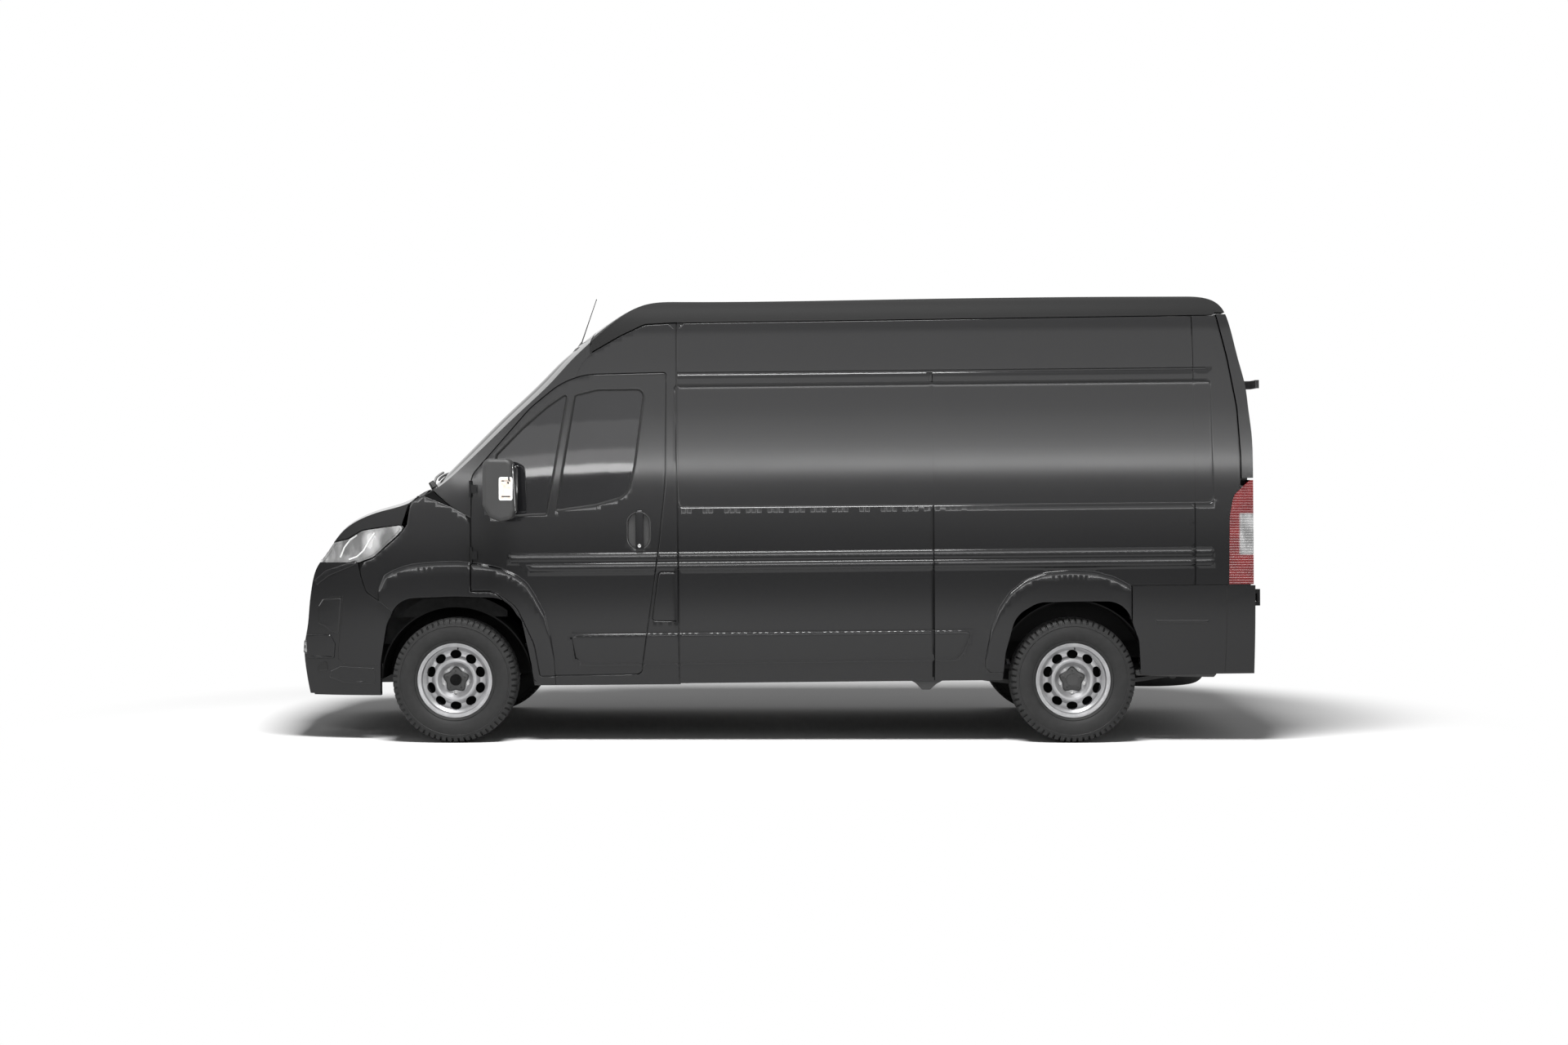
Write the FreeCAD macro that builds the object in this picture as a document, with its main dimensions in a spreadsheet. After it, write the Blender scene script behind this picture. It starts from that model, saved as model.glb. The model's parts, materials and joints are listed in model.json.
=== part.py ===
import FreeCAD, Part
import math
import os
import re

Vector = FreeCAD.Vector
doc = FreeCAD.newDocument("panel_van")

# Driving dimensions, in millimetres and degrees. The van faces -X and its left side is at -Y.
SIZES = {
    "front_overhang": 948, "wheel_base": 3450, "rear_overhang": 1015, "body_height": 2500,
    "stance_angle": 0.57, "stance_pivot_height": 600, "rear_hinge_projection": 36,
    "mass_half_width": 1200, "overrun": 100, "weld": 0.01, "fit": 0.3,
    "nose_bow": 105, "screen_bow": 160, "tail_bow": 13, "bow_half_width": 1000,
    "roof_crown": 40, "hood_crown": 12, "fold_tolerance": 0.5, "shortest_step": 18,
    "skin_thickness": 14, "wall_thickness": 56, "wing_thickness": 20, "hood_thickness": 26,
    "panel_gap": 6, "cab_seam": 7.5, "lap_clearance": 6, "lap_width": 24, "flange_reach": 9,
    "glass_thickness": 6, "glass_setback": 5, "glass_gap": 0.5,
    "headlamp_setback": 2, "headlamp_depth": 90, "tail_lamp_depth": 110,
    "front_bumper_depth": 60, "rear_bumper_depth": 50, "rear_bumper_proud": 8,
    "grille_setback": 24, "grille_thickness": 20, "grille_border": 16, "slat_count": 4,
    "scuttle_setback": 36, "scuttle_thickness": 34, "pillar_setback": 21,
    "flare_height": 12, "moulding_height": 8, "swage_height": 4, "recess_depth": 6.5,
    "seam_width": 4, "seam_depth": 10, "top_groove_depth": 6,
    "rail_groove_depth": 15, "rear_recess_depth": 6,
    "handle_pocket_depth": 12, "handle_proud": 8, "handle_depth": 4,
    "hinge_leaf_height": 46, "hinge_leaf_thickness": 3, "hinge_leaf_reach": 62,
    "hinge_leaf_gap": 0.8, "small_barrel_radius": 6, "cab_door_hinge_back": 1046,
    "cab_door_hinge_reach": 1002, "door_arm_length": 34, "door_arm_edge": 3,
    "hood_hinge_height": 1385, "hood_hinge_reach": 600, "hood_barrel_radius": 9,
    "hood_barrel_length": 40, "hood_bracket_thickness": 24, "hood_bracket_height": 80,
    "hood_bracket_rise": 5, "flap_hinge_reach": 1030, "flap_lug_length": 22,
    "flap_foot_clear": 8, "flap_foot_width": 12, "flap_foot_depth": 30, "flap_arm_width": 14,
    "flap_arm_edge": 4, "rear_hinge_beyond": 17, "rear_hinge_reach": 985,
    "rear_barrel_radius": 12, "rear_arm_thickness": 12, "rear_foot_inner": 780,
    "rear_foot_width": 35, "rear_foot_length": 60, "rear_leaf_thickness": 6,
    "upper_leaf_length": 170, "lower_leaf_length": 60,
    "tyre_radius": 348, "tyre_width": 225, "bead_width": 12, "bead_edge": 2,
    "half_track": 905, "rim_radius": 208, "rim_lip_radius": 194, "rim_width": 176,
    "disc_thickness": 8, "vent_count": 10, "vent_circle_radius": 144,
    "vent_half_length": 31, "vent_half_width": 24, "hub_bore_radius": 32,
    "spindle_clearance": 0.05, "spindle_length": 110, "hub_setback": 60, "brake_radius": 115,
    "brake_width": 60, "kingpin_half_track": 800, "kingpin_ball_radius": 18,
    "kingpin_ball_length": 97, "upright_radius": 24, "upright_inset": 42,
    "upright_height": 350, "arm_low": 203, "arm_height": 20, "ball_rise": 67,
    "bridge_inset": 60, "bridge_width": 65, "bridge_height": 126, "steering_arm_inset": 62,
    "steering_arm_width": 40, "steering_arm_length": 130, "steering_arm_height": 24,
    "steering_arm_rise": 97, "steering_arm_back": 20,
    "rear_axle_radius": 45, "rear_tube_setback": 90, "spring_half_track": 560,
    "spring_width": 66, "spring_thickness": 24, "spring_half_length": 620, "spring_bow": 60,
    "spring_eye_radius": 26, "spring_hanger_width": 44, "spring_eye_rise": 10,
    "rail_half_track": 560, "front_rail_half_track": 470, "rail_width": 70,
    "rail_height": 110, "rail_top": 535, "rail_setback": 1400, "rail_tail_setback": 160,
    "front_rail_setback": 420, "front_rail_length": 1040, "cross_member_length": 60,
    "cross_member_height": 70, "jacking_pad_setback": 1200, "jacking_pad_length": 120,
    "jacking_pad_width": 60, "jacking_pad_drop": 10,
    "spare_setback": 4960, "spare_top": 330, "spare_post_radius": 15,
    "spare_post_length": 130, "spare_tube_radius": 84, "spare_tube_inset": 95,
    "spare_tube_drop": 20, "spare_hub_inset": 110, "spare_hub_height": 40,
    "subframe_gap": 20, "subframe_front": 60, "subframe_length": 240, "subframe_height": 60,
    "subframe_arm_front": 30, "subframe_arm_length": 80, "subframe_arm_inner": 500,
    "subframe_post_front": 20, "subframe_post_length": 80, "subframe_post_width": 60,
    "engine_front": 600, "engine_length": 530, "engine_half_width": 400,
    "engine_height": 620, "engine_drop": 40, "engine_mount_front": 400,
    "engine_mount_length": 80, "engine_mount_rise": 20, "engine_mount_height": 70,
    "tank_setback": 2560, "tank_length": 560, "tank_half_width": 380, "tank_bottom": 290,
    "strap_setback": 60, "strap_spacing": 380, "strap_width": 40, "strap_drop": 24,
    "strap_height": 64,
    "exhaust_reach": 600, "exhaust_height": 330, "exhaust_setback": 1500,
    "exhaust_length": 2200, "exhaust_pipe_radius": 28, "silencer_setback": 2300,
    "silencer_length": 620, "silencer_radius": 80, "hanger_thickness": 12,
    "hanger_width": 16,
    "floor_top": 560, "floor_thickness": 24, "load_floor_rise": 4, "inside_clearance": 8, "step_inner": 700,
    "step_low": 400, "firewall_gap": 12, "arch_liner_radius": 424, "arch_liner_wall": 8,
    "arch_liner_gap": 4, "front_well_half_width": 575, "front_well_margin": 10,
    "rear_well_half_width": 760, "liner_bottom_rise": 20, "liner_lip_radius": 500,
    "liner_lip_inner": 600, "bulkhead_thickness": 30,
    "dash_low": 985, "dash_high": 1285, "seat_base_inset": 40, "seat_base_length": 400,
    "cushion_low": 800, "cushion_thickness": 130, "seat_length": 500, "backrest_setback": 420,
    "backrest_thickness": 140, "backrest_height": 600, "headrest_width": 260,
    "headrest_height": 200, "headrest_thickness": 90, "driver_seat_reach": 690,
    "driver_seat_width": 480, "bench_reach": 160, "bench_width": 850,
    "steering_ring_radius": 195, "steering_tube_radius": 15, "steering_boss_radius": 45,
    "steering_boss_height": 40, "steering_spoke_width": 40, "steering_spoke_thickness": 16,
    "steering_column_radius": 25, "steering_column_length": 300, "steering_reach": 450,
    "steering_height": 1200, "steering_tilt": 42, "dash_cut_depth": 200,
    "mirror_reach": 150, "mirror_inner": 1070, "mirror_round": 24, "mirror_arm_inner": 985,
    "mirror_arm_outer": 1110, "mirror_arm_height": 40,
}


def sheet_with(sizes):
    sheet = doc.addObject("Spreadsheet::Sheet", "Sizes")
    for row, (alias, value) in enumerate(sizes.items(), start=1):
        sheet.set(f"A{row}", alias.replace("_", " "))
        sheet.set(f"B{row}", str(value))
        sheet.setAlias(f"B{row}", alias)
    doc.recompute()
    return sheet


sheet = sheet_with(SIZES)


def size(alias):
    return float(sheet.get(alias))


def bound(text):
    """Turns a rule about the sizes into an expression that reads the sheet."""
    words = sorted(SIZES, key=len, reverse=True)
    return re.sub(r"\b(" + "|".join(words) + r")\b", r"Sizes.\1", text)


# Places that follow from the driving dimensions
length = size("front_overhang") + size("wheel_base") + size("rear_overhang")
nose_x = -(length + size("rear_hinge_projection")) / 2
tail_x = nose_x + length
front_axle_x = nose_x + size("front_overhang")
rear_axle_x = front_axle_x + size("wheel_base")
height = size("body_height")
beyond = size("mass_half_width") + size("overrun")
NOSE = "(-(front_overhang + wheel_base + rear_overhang + rear_hinge_projection) / 2)"
FRONT_AXLE = f"({NOSE} + front_overhang)"
REAR_AXLE = f"({NOSE} + front_overhang + wheel_base)"

# The body leans a little nose down on its springs, about a point between the wheels
stance_pivot = Vector((front_axle_x + rear_axle_x) / 2, 0, size("stance_pivot_height"))
stance_turn = FreeCAD.Rotation(Vector(0, 1, 0), -size("stance_angle"))
STANCE = FreeCAD.Placement(Vector(0, 0, 0), stance_turn, stance_pivot)

# Side outlines, as shares of the body height: behind the nose, above the ground, corner radius
NOSE_PROFILE_SHARES = [
    (0.028, 0.060), (0.012, 0.120), (0.004, 0.172), (0.002, 0.224), (0.009, 0.264),
    (0.015, 0.320), (0.020, 0.356), (0.026, 0.384), (0.034, 0.404), (0.047, 0.423),
    (0.070, 0.456), (0.094, 0.486), (0.116, 0.503), (0.139, 0.515), (0.178, 0.529),
    (0.218, 0.540), (0.247, 0.552), (0.276, 0.569), (0.306, 0.592), (0.340, 0.625),
    (0.375, 0.660), (0.464, 0.747), (0.549, 0.826), (0.592, 0.868), (0.632, 0.900),
    (0.671, 0.929), (0.720, 0.961), (0.760, 0.982), (0.804, 0.996), (0.880, 1.000),
]
TAIL_PROFILE_SHARES = [
    (-0.399, 1.001), (0.121, 1.002), (0.261, 1.001), (0.305, 0.998), (0.331, 0.988),
    (0.346, 0.972), (0.356, 0.948), (0.367, 0.903), (0.379, 0.848), (0.392, 0.792),
    (0.398, 0.737), (0.404, 0.682), (0.406, 0.627), (0.406, 0.560), (0.406, 0.400),
    (0.406, 0.240), (0.406, 0.060),
]
SECTION_SHARES = [
    (0.040, 0.368), (0.120, 0.384), (0.192, 0.400), (0.280, 0.409), (0.400, 0.410),
    (0.520, 0.410), (0.600, 0.408), (0.680, 0.403), (0.760, 0.397), (0.860, 0.386),
    (0.940, 0.375), (0.970, 0.362), (0.987, 0.340), (0.997, 0.308), (1.016, 0.290),
    (1.048, 0.280),
]
TAPER_SHARES = [
    (-0.120, 0.144), (-0.040, 0.116), (0.024, 0.086), (0.080, 0.060), (0.160, 0.040),
    (0.260, 0.027), (0.380, 0.018), (0.520, 0.009), (0.680, 0.002), (0.860, 0.000),
    (1.080, 0.000), (1.800, 0.000), (2.280, 0.000),
]
CAB_DOOR_SHARES = [
    (0.418, 0.347, 0.005), (0.421, 0.602, 0.036), (0.554, 0.752, 0.200), (0.644, 0.824, 0.168),
    (0.856, 0.827, 0.006), (0.853, 0.592, 0.600), (0.836, 0.440, 1.000), (0.794, 0.157, 0.012),
    (0.569, 0.155, 0.004), (0.558, 0.226, 0.080), (0.520, 0.310, 0.060), (0.472, 0.347, 0.040),
]
DOOR_GLASS_SHARES = [
    (0.653, 0.780, 0.006), (0.704, 0.792, 0.060), (0.809, 0.792, 0.016), (0.786, 0.622, 0.360),
    (0.770, 0.554, 0.044), (0.698, 0.534, 0.080), (0.608, 0.522, 0.005),
]
QUARTER_GLASS_SHARES = [
    (0.477, 0.649, 0.008), (0.536, 0.708, 0.240), (0.591, 0.755, 0.240), (0.638, 0.786, 0.005),
    (0.608, 0.624, 0.600), (0.589, 0.515, 0.006), (0.556, 0.514, 0.040), (0.460, 0.509, 0.008),
    (0.464, 0.576, 0.040),
]
HEADLAMP_SHARES = [
    (0.060, 0.4111, 0.004), (0.060, 0.445, 0.004), (0.139, 0.463, 0.024), (0.172, 0.482, 0.040),
    (0.232, 0.490, 0.080), (0.270, 0.494, 0.006), (0.250, 0.471, 0.040), (0.194, 0.422, 0.040),
    (0.160, 0.4111, 0.004),
]
FRONT_ARCH_SHARES = [
    (0.202, 0.060, 0.002), (0.207, 0.183, 0.080), (0.224, 0.273, 0.060), (0.256, 0.330, 0.060),
    (0.381, 0.334, 0.200), (0.496, 0.330, 0.072), (0.532, 0.272, 0.072), (0.550, 0.179, 0.060),
    (0.556, 0.060, 0.002),
]
REAR_ARCH_SHARES = [
    (-0.163, 0.060, 0.002), (-0.152, 0.196, 0.120), (-0.129, 0.280, 0.060),
    (-0.079, 0.309, 0.060), (0.028, 0.310, 0.200), (0.113, 0.309, 0.056),
    (0.146, 0.220, 0.056), (0.157, 0.060, 0.002),
]
TAIL_LAMP_SHARES = [
    (0.430, 0.578, 0.0), (0.394, 0.576, 0.0), (0.357, 0.543, 0.032), (0.348, 0.496, 0.060),
    (0.346, 0.3445, 0.0), (0.430, 0.3445, 0.0),
]
FUEL_FLAP_SHARES = [
    (0.838, 0.384, 0.005), (0.878, 0.383, 0.005), (0.877, 0.276, 0.005), (0.822, 0.277, 0.005),
]
BUMPER_SHARES = [
    (-0.040, 0.113, 0.0), (-0.040, 0.411, 0.0), (0.160, 0.411, 0.0), (0.166, 0.378, 0.020),
    (0.177, 0.343, 0.020), (0.213, 0.318, 0.0), (0.235, 0.300, 0.0), (0.235, 0.113, 0.0),
]
HOOD_SHARES = [
    (-0.040, 0.4135, 0.0), (0.160, 0.4135, 0.0), (0.260, 0.490, 0.0), (0.279, 0.5464, 0.0),
    (0.279, 0.680, 0.0), (-0.040, 0.680, 0.0),
]
WING_SHARES = [
    (0.163, 0.409, 0.0), (0.195, 0.4195, 0.040), (0.2535, 0.4695, 0.040),
    (0.2735, 0.4935, 0.0), (0.283, 0.552, 0.0), (0.326, 0.575, 0.0), (0.372, 0.534, 0.020),
    (0.4155, 0.510, 0.0), (0.4155, 0.3435, 0.0), (0.471, 0.3435, 0.040), (0.499, 0.3125, 0.0),
    (0.499, 0.285, 0.0), (0.237, 0.285, 0.0), (0.237, 0.3005, 0.0), (0.2145, 0.3205, 0.0),
    (0.179, 0.345, 0.020), (0.168, 0.379, 0.020),
]
CAB_SIDE_SHARES = [
    (0.326, 0.578, 0.0), (0.374, 0.536, 0.020), (0.418, 0.512, 0.0),
    (0.418, 0.345, 0.0), (0.472, 0.345, 0.040), (0.530, 0.280, 0.0), (0.556, 0.134, 0.0),
    (0.8785, 0.134, 0.0), (0.8785, 0.938, 0.0), (0.809, 0.935, 0.030), (0.754, 0.909, 0.100),
    (0.687, 0.871, 0.0), (0.687, 1.100, 0.0), (0.303, 1.100, 0.0), (0.303, 0.562, 0.0),
]
ROOF_SHARES = [
    (0.690, 0.868, 0.0), (0.754, 0.900, 0.0), (0.8785, 0.940, 0.0),
    (2.079, 0.946, 0.0), (2.083, 0.951, 0.0), (2.240, 0.951, 0.0), (2.240, 1.100, 0.0),
    (0.690, 1.100, 0.0),
]
SCUTTLE_SHARES = [
    (0.282, 0.440, 0.0), (0.282, 0.640, 0.0), (0.335, 0.640, 0.0), (0.335, 0.440, 0.0),
]
PILLAR_SHARES = [
    (0.290, 0.470, 0.0), (0.290, 0.620, 0.0), (0.450, 0.620, 0.0), (0.450, 0.348, 0.0),
    (0.380, 0.348, 0.0), (0.360, 0.470, 0.0),
]
SIDE_PANEL_SHARES = [
    (0.870, 0.134, 0.0), (0.870, 0.938, 0.0), (2.079, 0.944, 0.0), (2.0830, 0.946, 0.0),
    (2.1055, 0.848, 0.200), (2.1247, 0.737, 0.200), (2.1312, 0.627, 0.200),
    (2.1315, 0.3445, 0.0), (1.888, 0.3445, 0.0),
    (1.888, 0.200, 0.0), (1.700, 0.134, 0.0),
]
REAR_BUMPER_SHARES = [
    (0.1308, 0.342, 0.0), (0.4200, 0.342, 0.0), (0.4200, 0.144, 0.0), (0.1308, 0.144, 0.0),
]
REAR_BUMPER_FLANGE_SHARES = [
    (0.1308, 0.3444, 0.0), (0.4200, 0.3444, 0.0), (0.4200, 0.300, 0.0), (0.1308, 0.300, 0.0),
]
SLIDING_DOOR_SHARES = [
    (0.884, 0.190, 0.010), (0.884, 0.822, 0.020), (1.446, 0.822, 0.020), (1.446, 0.190, 0.010),
]
SIDE_RECESS_SHARES = [
    (0.872, 0.803, 0.011), (2.0705, 0.8035, 0.011), (2.075, 0.5235, 0.011),
    (0.8805, 0.525, 0.011),
]
SWAGE_SHARES = [
    (0.504, 0.4275, 0.0), (2.070, 0.4275, 0.0), (2.070, 0.389, 0.0), (0.540, 0.389, 0.0),
]
MOULDING_SHARES = [
    (0.640, 0.2496, 0.0), (1.537, 0.2496, 0.0), (1.513, 0.197, 0.0), (1.498, 0.183, 0.0),
    (0.668, 0.180, 0.0), (0.650, 0.195, 0.0),
]
TOP_GROOVE_SHARES = [
    (0.870, 0.822, 0.0), (0.870, 0.830, 0.0), (2.074, 0.830, 0.0), (2.074, 0.822, 0.0),
]
DOOR_RAIL_SHARES = [
    (1.456, 0.492, 0.0), (1.456, 0.508, 0.0), (2.060, 0.508, 0.0), (2.060, 0.492, 0.0),
]
FRONT_FLARE_SHARES = [
    (0.225, 0.378, 0.0), (0.250, 0.388, 0.0), (0.285, 0.400, 0.0), (0.335, 0.406, 0.0),
    (0.390, 0.407, 0.0), (0.440, 0.401, 0.0), (0.478, 0.393, 0.0), (0.512, 0.379, 0.0),
    (0.538, 0.359, 0.0), (0.556, 0.332, 0.0), (0.576, 0.292, 0.0), (0.590, 0.240, 0.0),
    (0.598, 0.190, 0.0), (0.600, 0.130, 0.0), (0.540, 0.060, 0.0), (0.210, 0.060, 0.0),
    (0.215, 0.300, 0.0),
]
REAR_FLARE_SHARES = [
    (-0.192, 0.182, 0.0), (-0.180, 0.249, 0.0), (-0.163, 0.293, 0.0), (-0.140, 0.327, 0.0),
    (-0.105, 0.355, 0.0), (-0.061, 0.370, 0.0), (-0.008, 0.374, 0.0), (0.045, 0.371, 0.0),
    (0.089, 0.358, 0.0), (0.128, 0.338, 0.0), (0.128, 0.160, 0.0), (-0.185, 0.160, 0.0),
]
# The seams down each side: place behind the nose, and how high each runs
SEAM_SHARES = ((1.4488, 0.822), (2.030, 0.944))
# Handles are outlined about their own middles
CAB_HANDLE_SHARE = 0.793
SLIDING_HANDLE_SHARE = 0.924
HANDLE_POCKET_SHARES = [
    (-0.025, 0.4364, 0.024), (-0.025, 0.5168, 0.024), (0.025, 0.5168, 0.024),
    (0.025, 0.4364, 0.024),
]
HANDLE_GRIP_SHARES = [
    (-0.006, 0.432, 0.004), (-0.006, 0.521, 0.004), (0.010, 0.521, 0.004),
    (0.010, 0.432, 0.004),
]


def along(share):
    return nose_x + share * height


def behind_rear_axle(share):
    return rear_axle_x + share * height


def up(share):
    return share * height


# Outlines and prisms
def side_points(shares, place=along):
    return [(Vector(place(a), 0, up(b)), up(r)) for a, b, r in shares]


def rounded_wire(corners):
    """Straight runs joined by tangent arcs, one at each corner with a radius."""
    edges = []
    ends = []
    count = len(corners)
    for i, (point, radius) in enumerate(corners):
        before = (corners[i - 1][0] - point)
        after = (corners[(i + 1) % count][0] - point)
        if radius <= 0:
            ends.append((point, None, point))
            continue
        inward = before.getAngle(after) / 2
        reach = radius / math.tan(inward)
        reach = min(reach, before.Length / 2, after.Length / 2)
        start = point + Vector(before).normalize() * reach
        end = point + Vector(after).normalize() * reach
        middle_line = (Vector(before).normalize() + Vector(after).normalize()).normalize()
        real_radius = reach * math.tan(inward)
        middle = point + middle_line * (real_radius / math.sin(inward) - real_radius)
        ends.append((start, middle, end))
    for i, (start, middle, end) in enumerate(ends):
        if middle is not None:
            edges.append(Part.Arc(start, middle, end).toShape())
        following = ends[(i + 1) % count][0]
        if (following - end).Length > size("weld") / 100:
            edges.append(Part.makeLine(end, following))
    return Part.Wire(edges)


def face_of(corners, grow=0.0):
    face = Part.Face(rounded_wire(corners))
    if grow:
        face = face.makeOffset2D(grow, 2)
    return face


def side_prism(shares, place=along, grow=0.0, low=0.0, high=1.0, side=-1):
    """A prism along Y from low to high, as shares of the half width of the mass."""
    face = face_of(side_points(shares, place), grow)
    half = size("mass_half_width")
    face.translate(Vector(0, side * low * half, 0))
    return face.extrude(Vector(0, side * (high - low) * half, 0))


def through_prism(shares, place=along, grow=0.0):
    return side_prism(shares, place, grow, -1.0, 1.0)


def box(x, y, z):
    """A box between pairs of limits, given in either order."""
    (x0, x1), (y0, y1), (z0, z1) = sorted(x), sorted(y), sorted(z)
    return Part.makeBox(x1 - x0, y1 - y0, z1 - z0, Vector(x0, y0, z0))


def across_van(x, z):
    """A box between pairs of limits that reaches past both sides."""
    return box(x, (-beyond, beyond), z)


def mirrored(shape):
    return shape.mirror(Vector(0, 0, 0), Vector(0, 1, 0))


def one_solid(shape):
    return max(shape.Solids, key=lambda solid: solid.Volume)


# The body's outer form: a side profile bowed across the van, met by two curved sides
def risen(value, low, high):
    """How far the value has risen from low to high, from 0 to 1."""
    return min(1.0, max(0.0, (value - low) / (high - low)))


def profile_points(inset):
    """The points of the side profile, moved inwards, without those that a tight bend folds."""
    points = [Vector(along(a), 0, up(b)) for a, b in NOSE_PROFILE_SHARES]
    points += [Vector(behind_rear_axle(a), 0, up(b)) for a, b in TAIL_PROFILE_SHARES]
    if not inset:
        return points
    curve = Part.BSplineCurve()
    curve.interpolate(points)
    moved = []
    line = curve.toShape()
    for point in points:
        tangent = curve.tangent(curve.parameter(point))[0]
        inner = point + Vector(tangent.z, 0, -tangent.x) * inset
        folded = Part.Vertex(inner).distToShape(line)[0] < inset - size("fold_tolerance")
        close = moved and (moved[-1] - inner).Length < size("shortest_step")
        if not folded and not close:
            moved.append(inner)
    moved[0].z = points[0].z
    moved[-1].z = points[-1].z
    return moved


# Where along the body, and how high on it, each bow and crown begins and ends
SCREEN_BOW_SHARES = (0.20, 0.36)
ROOF_BOW_SHARES = (0.56, 0.88)
TAIL_BOW_SHARES = (2.0, 2.1)
HOOD_CROWN_SHARES = (0.12, 0.50)
ROOF_CROWN_SHARES = (0.3, 0.7)
TAIL_CROWN_SHARES = (0.64, 1.0)


def bow_at(point):
    behind = (point.x - nose_x) / height
    bow = size("nose_bow")
    bow += (size("screen_bow") - bow) * risen(behind, *SCREEN_BOW_SHARES)
    bow *= 1 - risen(behind, *ROOF_BOW_SHARES)
    return bow - size("tail_bow") * risen(behind, *TAIL_BOW_SHARES)


def crown_at(point):
    behind = (point.x - nose_x) / height
    above = point.z / height
    crown = size("hood_crown") * risen(above, *HOOD_CROWN_SHARES)
    crown += (size("roof_crown") - size("hood_crown")) * risen(behind, *ROOF_CROWN_SHARES)
    if behind > TAIL_BOW_SHARES[0]:
        crown = size("roof_crown") * risen(above, *TAIL_CROWN_SHARES)
    return crown


def closed_solid(faces):
    shell = Part.Shell(faces)
    shell.sewShape()
    solid = Part.Solid(shell)
    if solid.Volume < 0:
        solid.reverse()
    return solid


def ruled_cap(edge_a, edge_b):
    a0, a1 = edge_a.Vertexes[0].Point, edge_a.Vertexes[-1].Point
    b0, b1 = edge_b.Vertexes[0].Point, edge_b.Vertexes[-1].Point
    lines = [edge_a, Part.makeLine(a1, b1), edge_b, Part.makeLine(b0, a0)]
    return Part.Face(Part.Wire(Part.__sortEdges__(lines)))


def profile_mass(inset):
    curve = Part.BSplineCurve()
    curve.interpolate(profile_points(inset))
    half = size("mass_half_width")
    wider = (half / size("bow_half_width")) ** 2
    rows = []
    for pole in curve.getPoles():
        bow = bow_at(pole) * wider
        crown = crown_at(pole) * wider
        near = Vector(pole.x + bow, -half, pole.z - crown)
        middle = Vector(pole.x - bow, 0, pole.z + crown)
        far = Vector(pole.x + bow, half, pole.z - crown)
        rows.append([near, middle, far])
    skin = Part.BSplineSurface()
    knots = curve.getKnots()
    skin.buildFromPolesMultsKnots(rows, curve.getMultiplicities(), [3, 3], knots, [0.0, 1.0],
                                  False, False, curve.Degree, 2)
    sides = []
    for end in (0.0, 1.0):
        edge = skin.vIso(end).toShape()
        chord = Part.makeLine(edge.Vertexes[-1].Point, edge.Vertexes[0].Point)
        sides.append(Part.Face(Part.Wire([edge, chord])))
    bottom = ruled_cap(skin.uIso(knots[0]).toShape(), skin.uIso(knots[-1]).toShape())
    return closed_solid([skin.toShape(), sides[0], sides[1], bottom])


def even_knots(count, degree=3):
    spans = count - degree
    return [float(i) for i in range(spans + 1)], [degree + 1] + [1] * (spans - 1) + [degree + 1]


# How much more the front narrows higher up, and the height from which it does
LEAN_SHARE = 0.9
LEAN_FROM_SHARE = 0.48


def sides_mass(inset):
    knots_x, mults_x = even_knots(len(TAPER_SHARES))
    knots_z, mults_z = even_knots(len(SECTION_SHARES))
    skins = []
    for side in (-1, 1):
        rows = []
        for place, taper in TAPER_SHARES:
            row = []
            for above, half_width in SECTION_SHARES:
                lean = 1 + LEAN_SHARE * max(0.0, above - LEAN_FROM_SHARE)
                reach = up(half_width) - up(taper) * lean - inset
                row.append(Vector(along(place), side * reach, up(above)))
            rows.append(row)
        skin = Part.BSplineSurface()
        skin.buildFromPolesMultsKnots(rows, mults_x, mults_z, knots_x, knots_z,
                                      False, False, 3, 3)
        skins.append(skin)
    left, right = skins
    faces = [left.toShape(), right.toShape()]
    for knot in (knots_x[0], knots_x[-1]):
        faces.append(ruled_cap(left.uIso(knot).toShape(), right.uIso(knot).toShape()))
    for knot in (knots_z[0], knots_z[-1]):
        faces.append(ruled_cap(left.vIso(knot).toShape(), right.vIso(knot).toShape()))
    return closed_solid(faces)


masses = {}


def body_mass(inset=0.0):
    """The whole body's form as one solid, made smaller all round by the inset."""
    if inset not in masses:
        masses[inset] = one_solid(profile_mass(inset).common(sides_mass(inset)))
    return masses[inset]


# A cut that meets the curved form badly is made again with the region a hair aside
NUDGE_SHARES = (0.0, 0.13, -0.23, 0.37, -0.5)
WHOLE_SHARE = 0.9999


def nudged(shape, share):
    nudge = share * size("fit")
    return shape.translated(Vector(nudge, nudge / 2, nudge))


def shared(mass, region):
    """The part of the body's form in a region that reaches beyond it."""
    for share in NUDGE_SHARES:
        result = mass.common(nudged(region, share))
        most = WHOLE_SHARE * min(region.Volume, mass.Volume)
        if result.isValid() and 0 < result.Volume < most:
            return result
    raise RuntimeError("a region was not cut by the body's form")


def hollowed(shape, mass):
    for share in NUDGE_SHARES:
        result = shape.cut(nudged(mass, share))
        if result.isValid() and 0 < result.Volume < WHOLE_SHARE * shape.Volume:
            return result
    raise RuntimeError("a panel was not hollowed by the body's form")


def panel(region, outer=0.0, inner=None):
    """What lies in the region between two insets of the body's form."""
    inner = size("wall_thickness") if inner is None else inner
    return hollowed(shared(body_mass(outer), region), body_mass(inner))


made = []


def piece(label, shape, leans=True):
    """Adds a piece whose form is worked out above as a feature of the document."""
    feature = doc.addObject("Part::Feature", label)
    feature.Label = label
    feature.Shape = shape
    if leans:
        feature.Placement = STANCE
    made.append(feature)
    return feature


# From the middle of the van, a side's forms begin at this share of the half width
SIDE_FROM_SHARE = 0.2
FORM_FROM_SHARE = 0.6
WING_FROM_SHARE = 0.735


def side_region(shares, place=along, grow=0.0, side=-1, low=SIDE_FROM_SHARE):
    return side_prism(shares, place, grow, low, 1.0, side)


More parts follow.
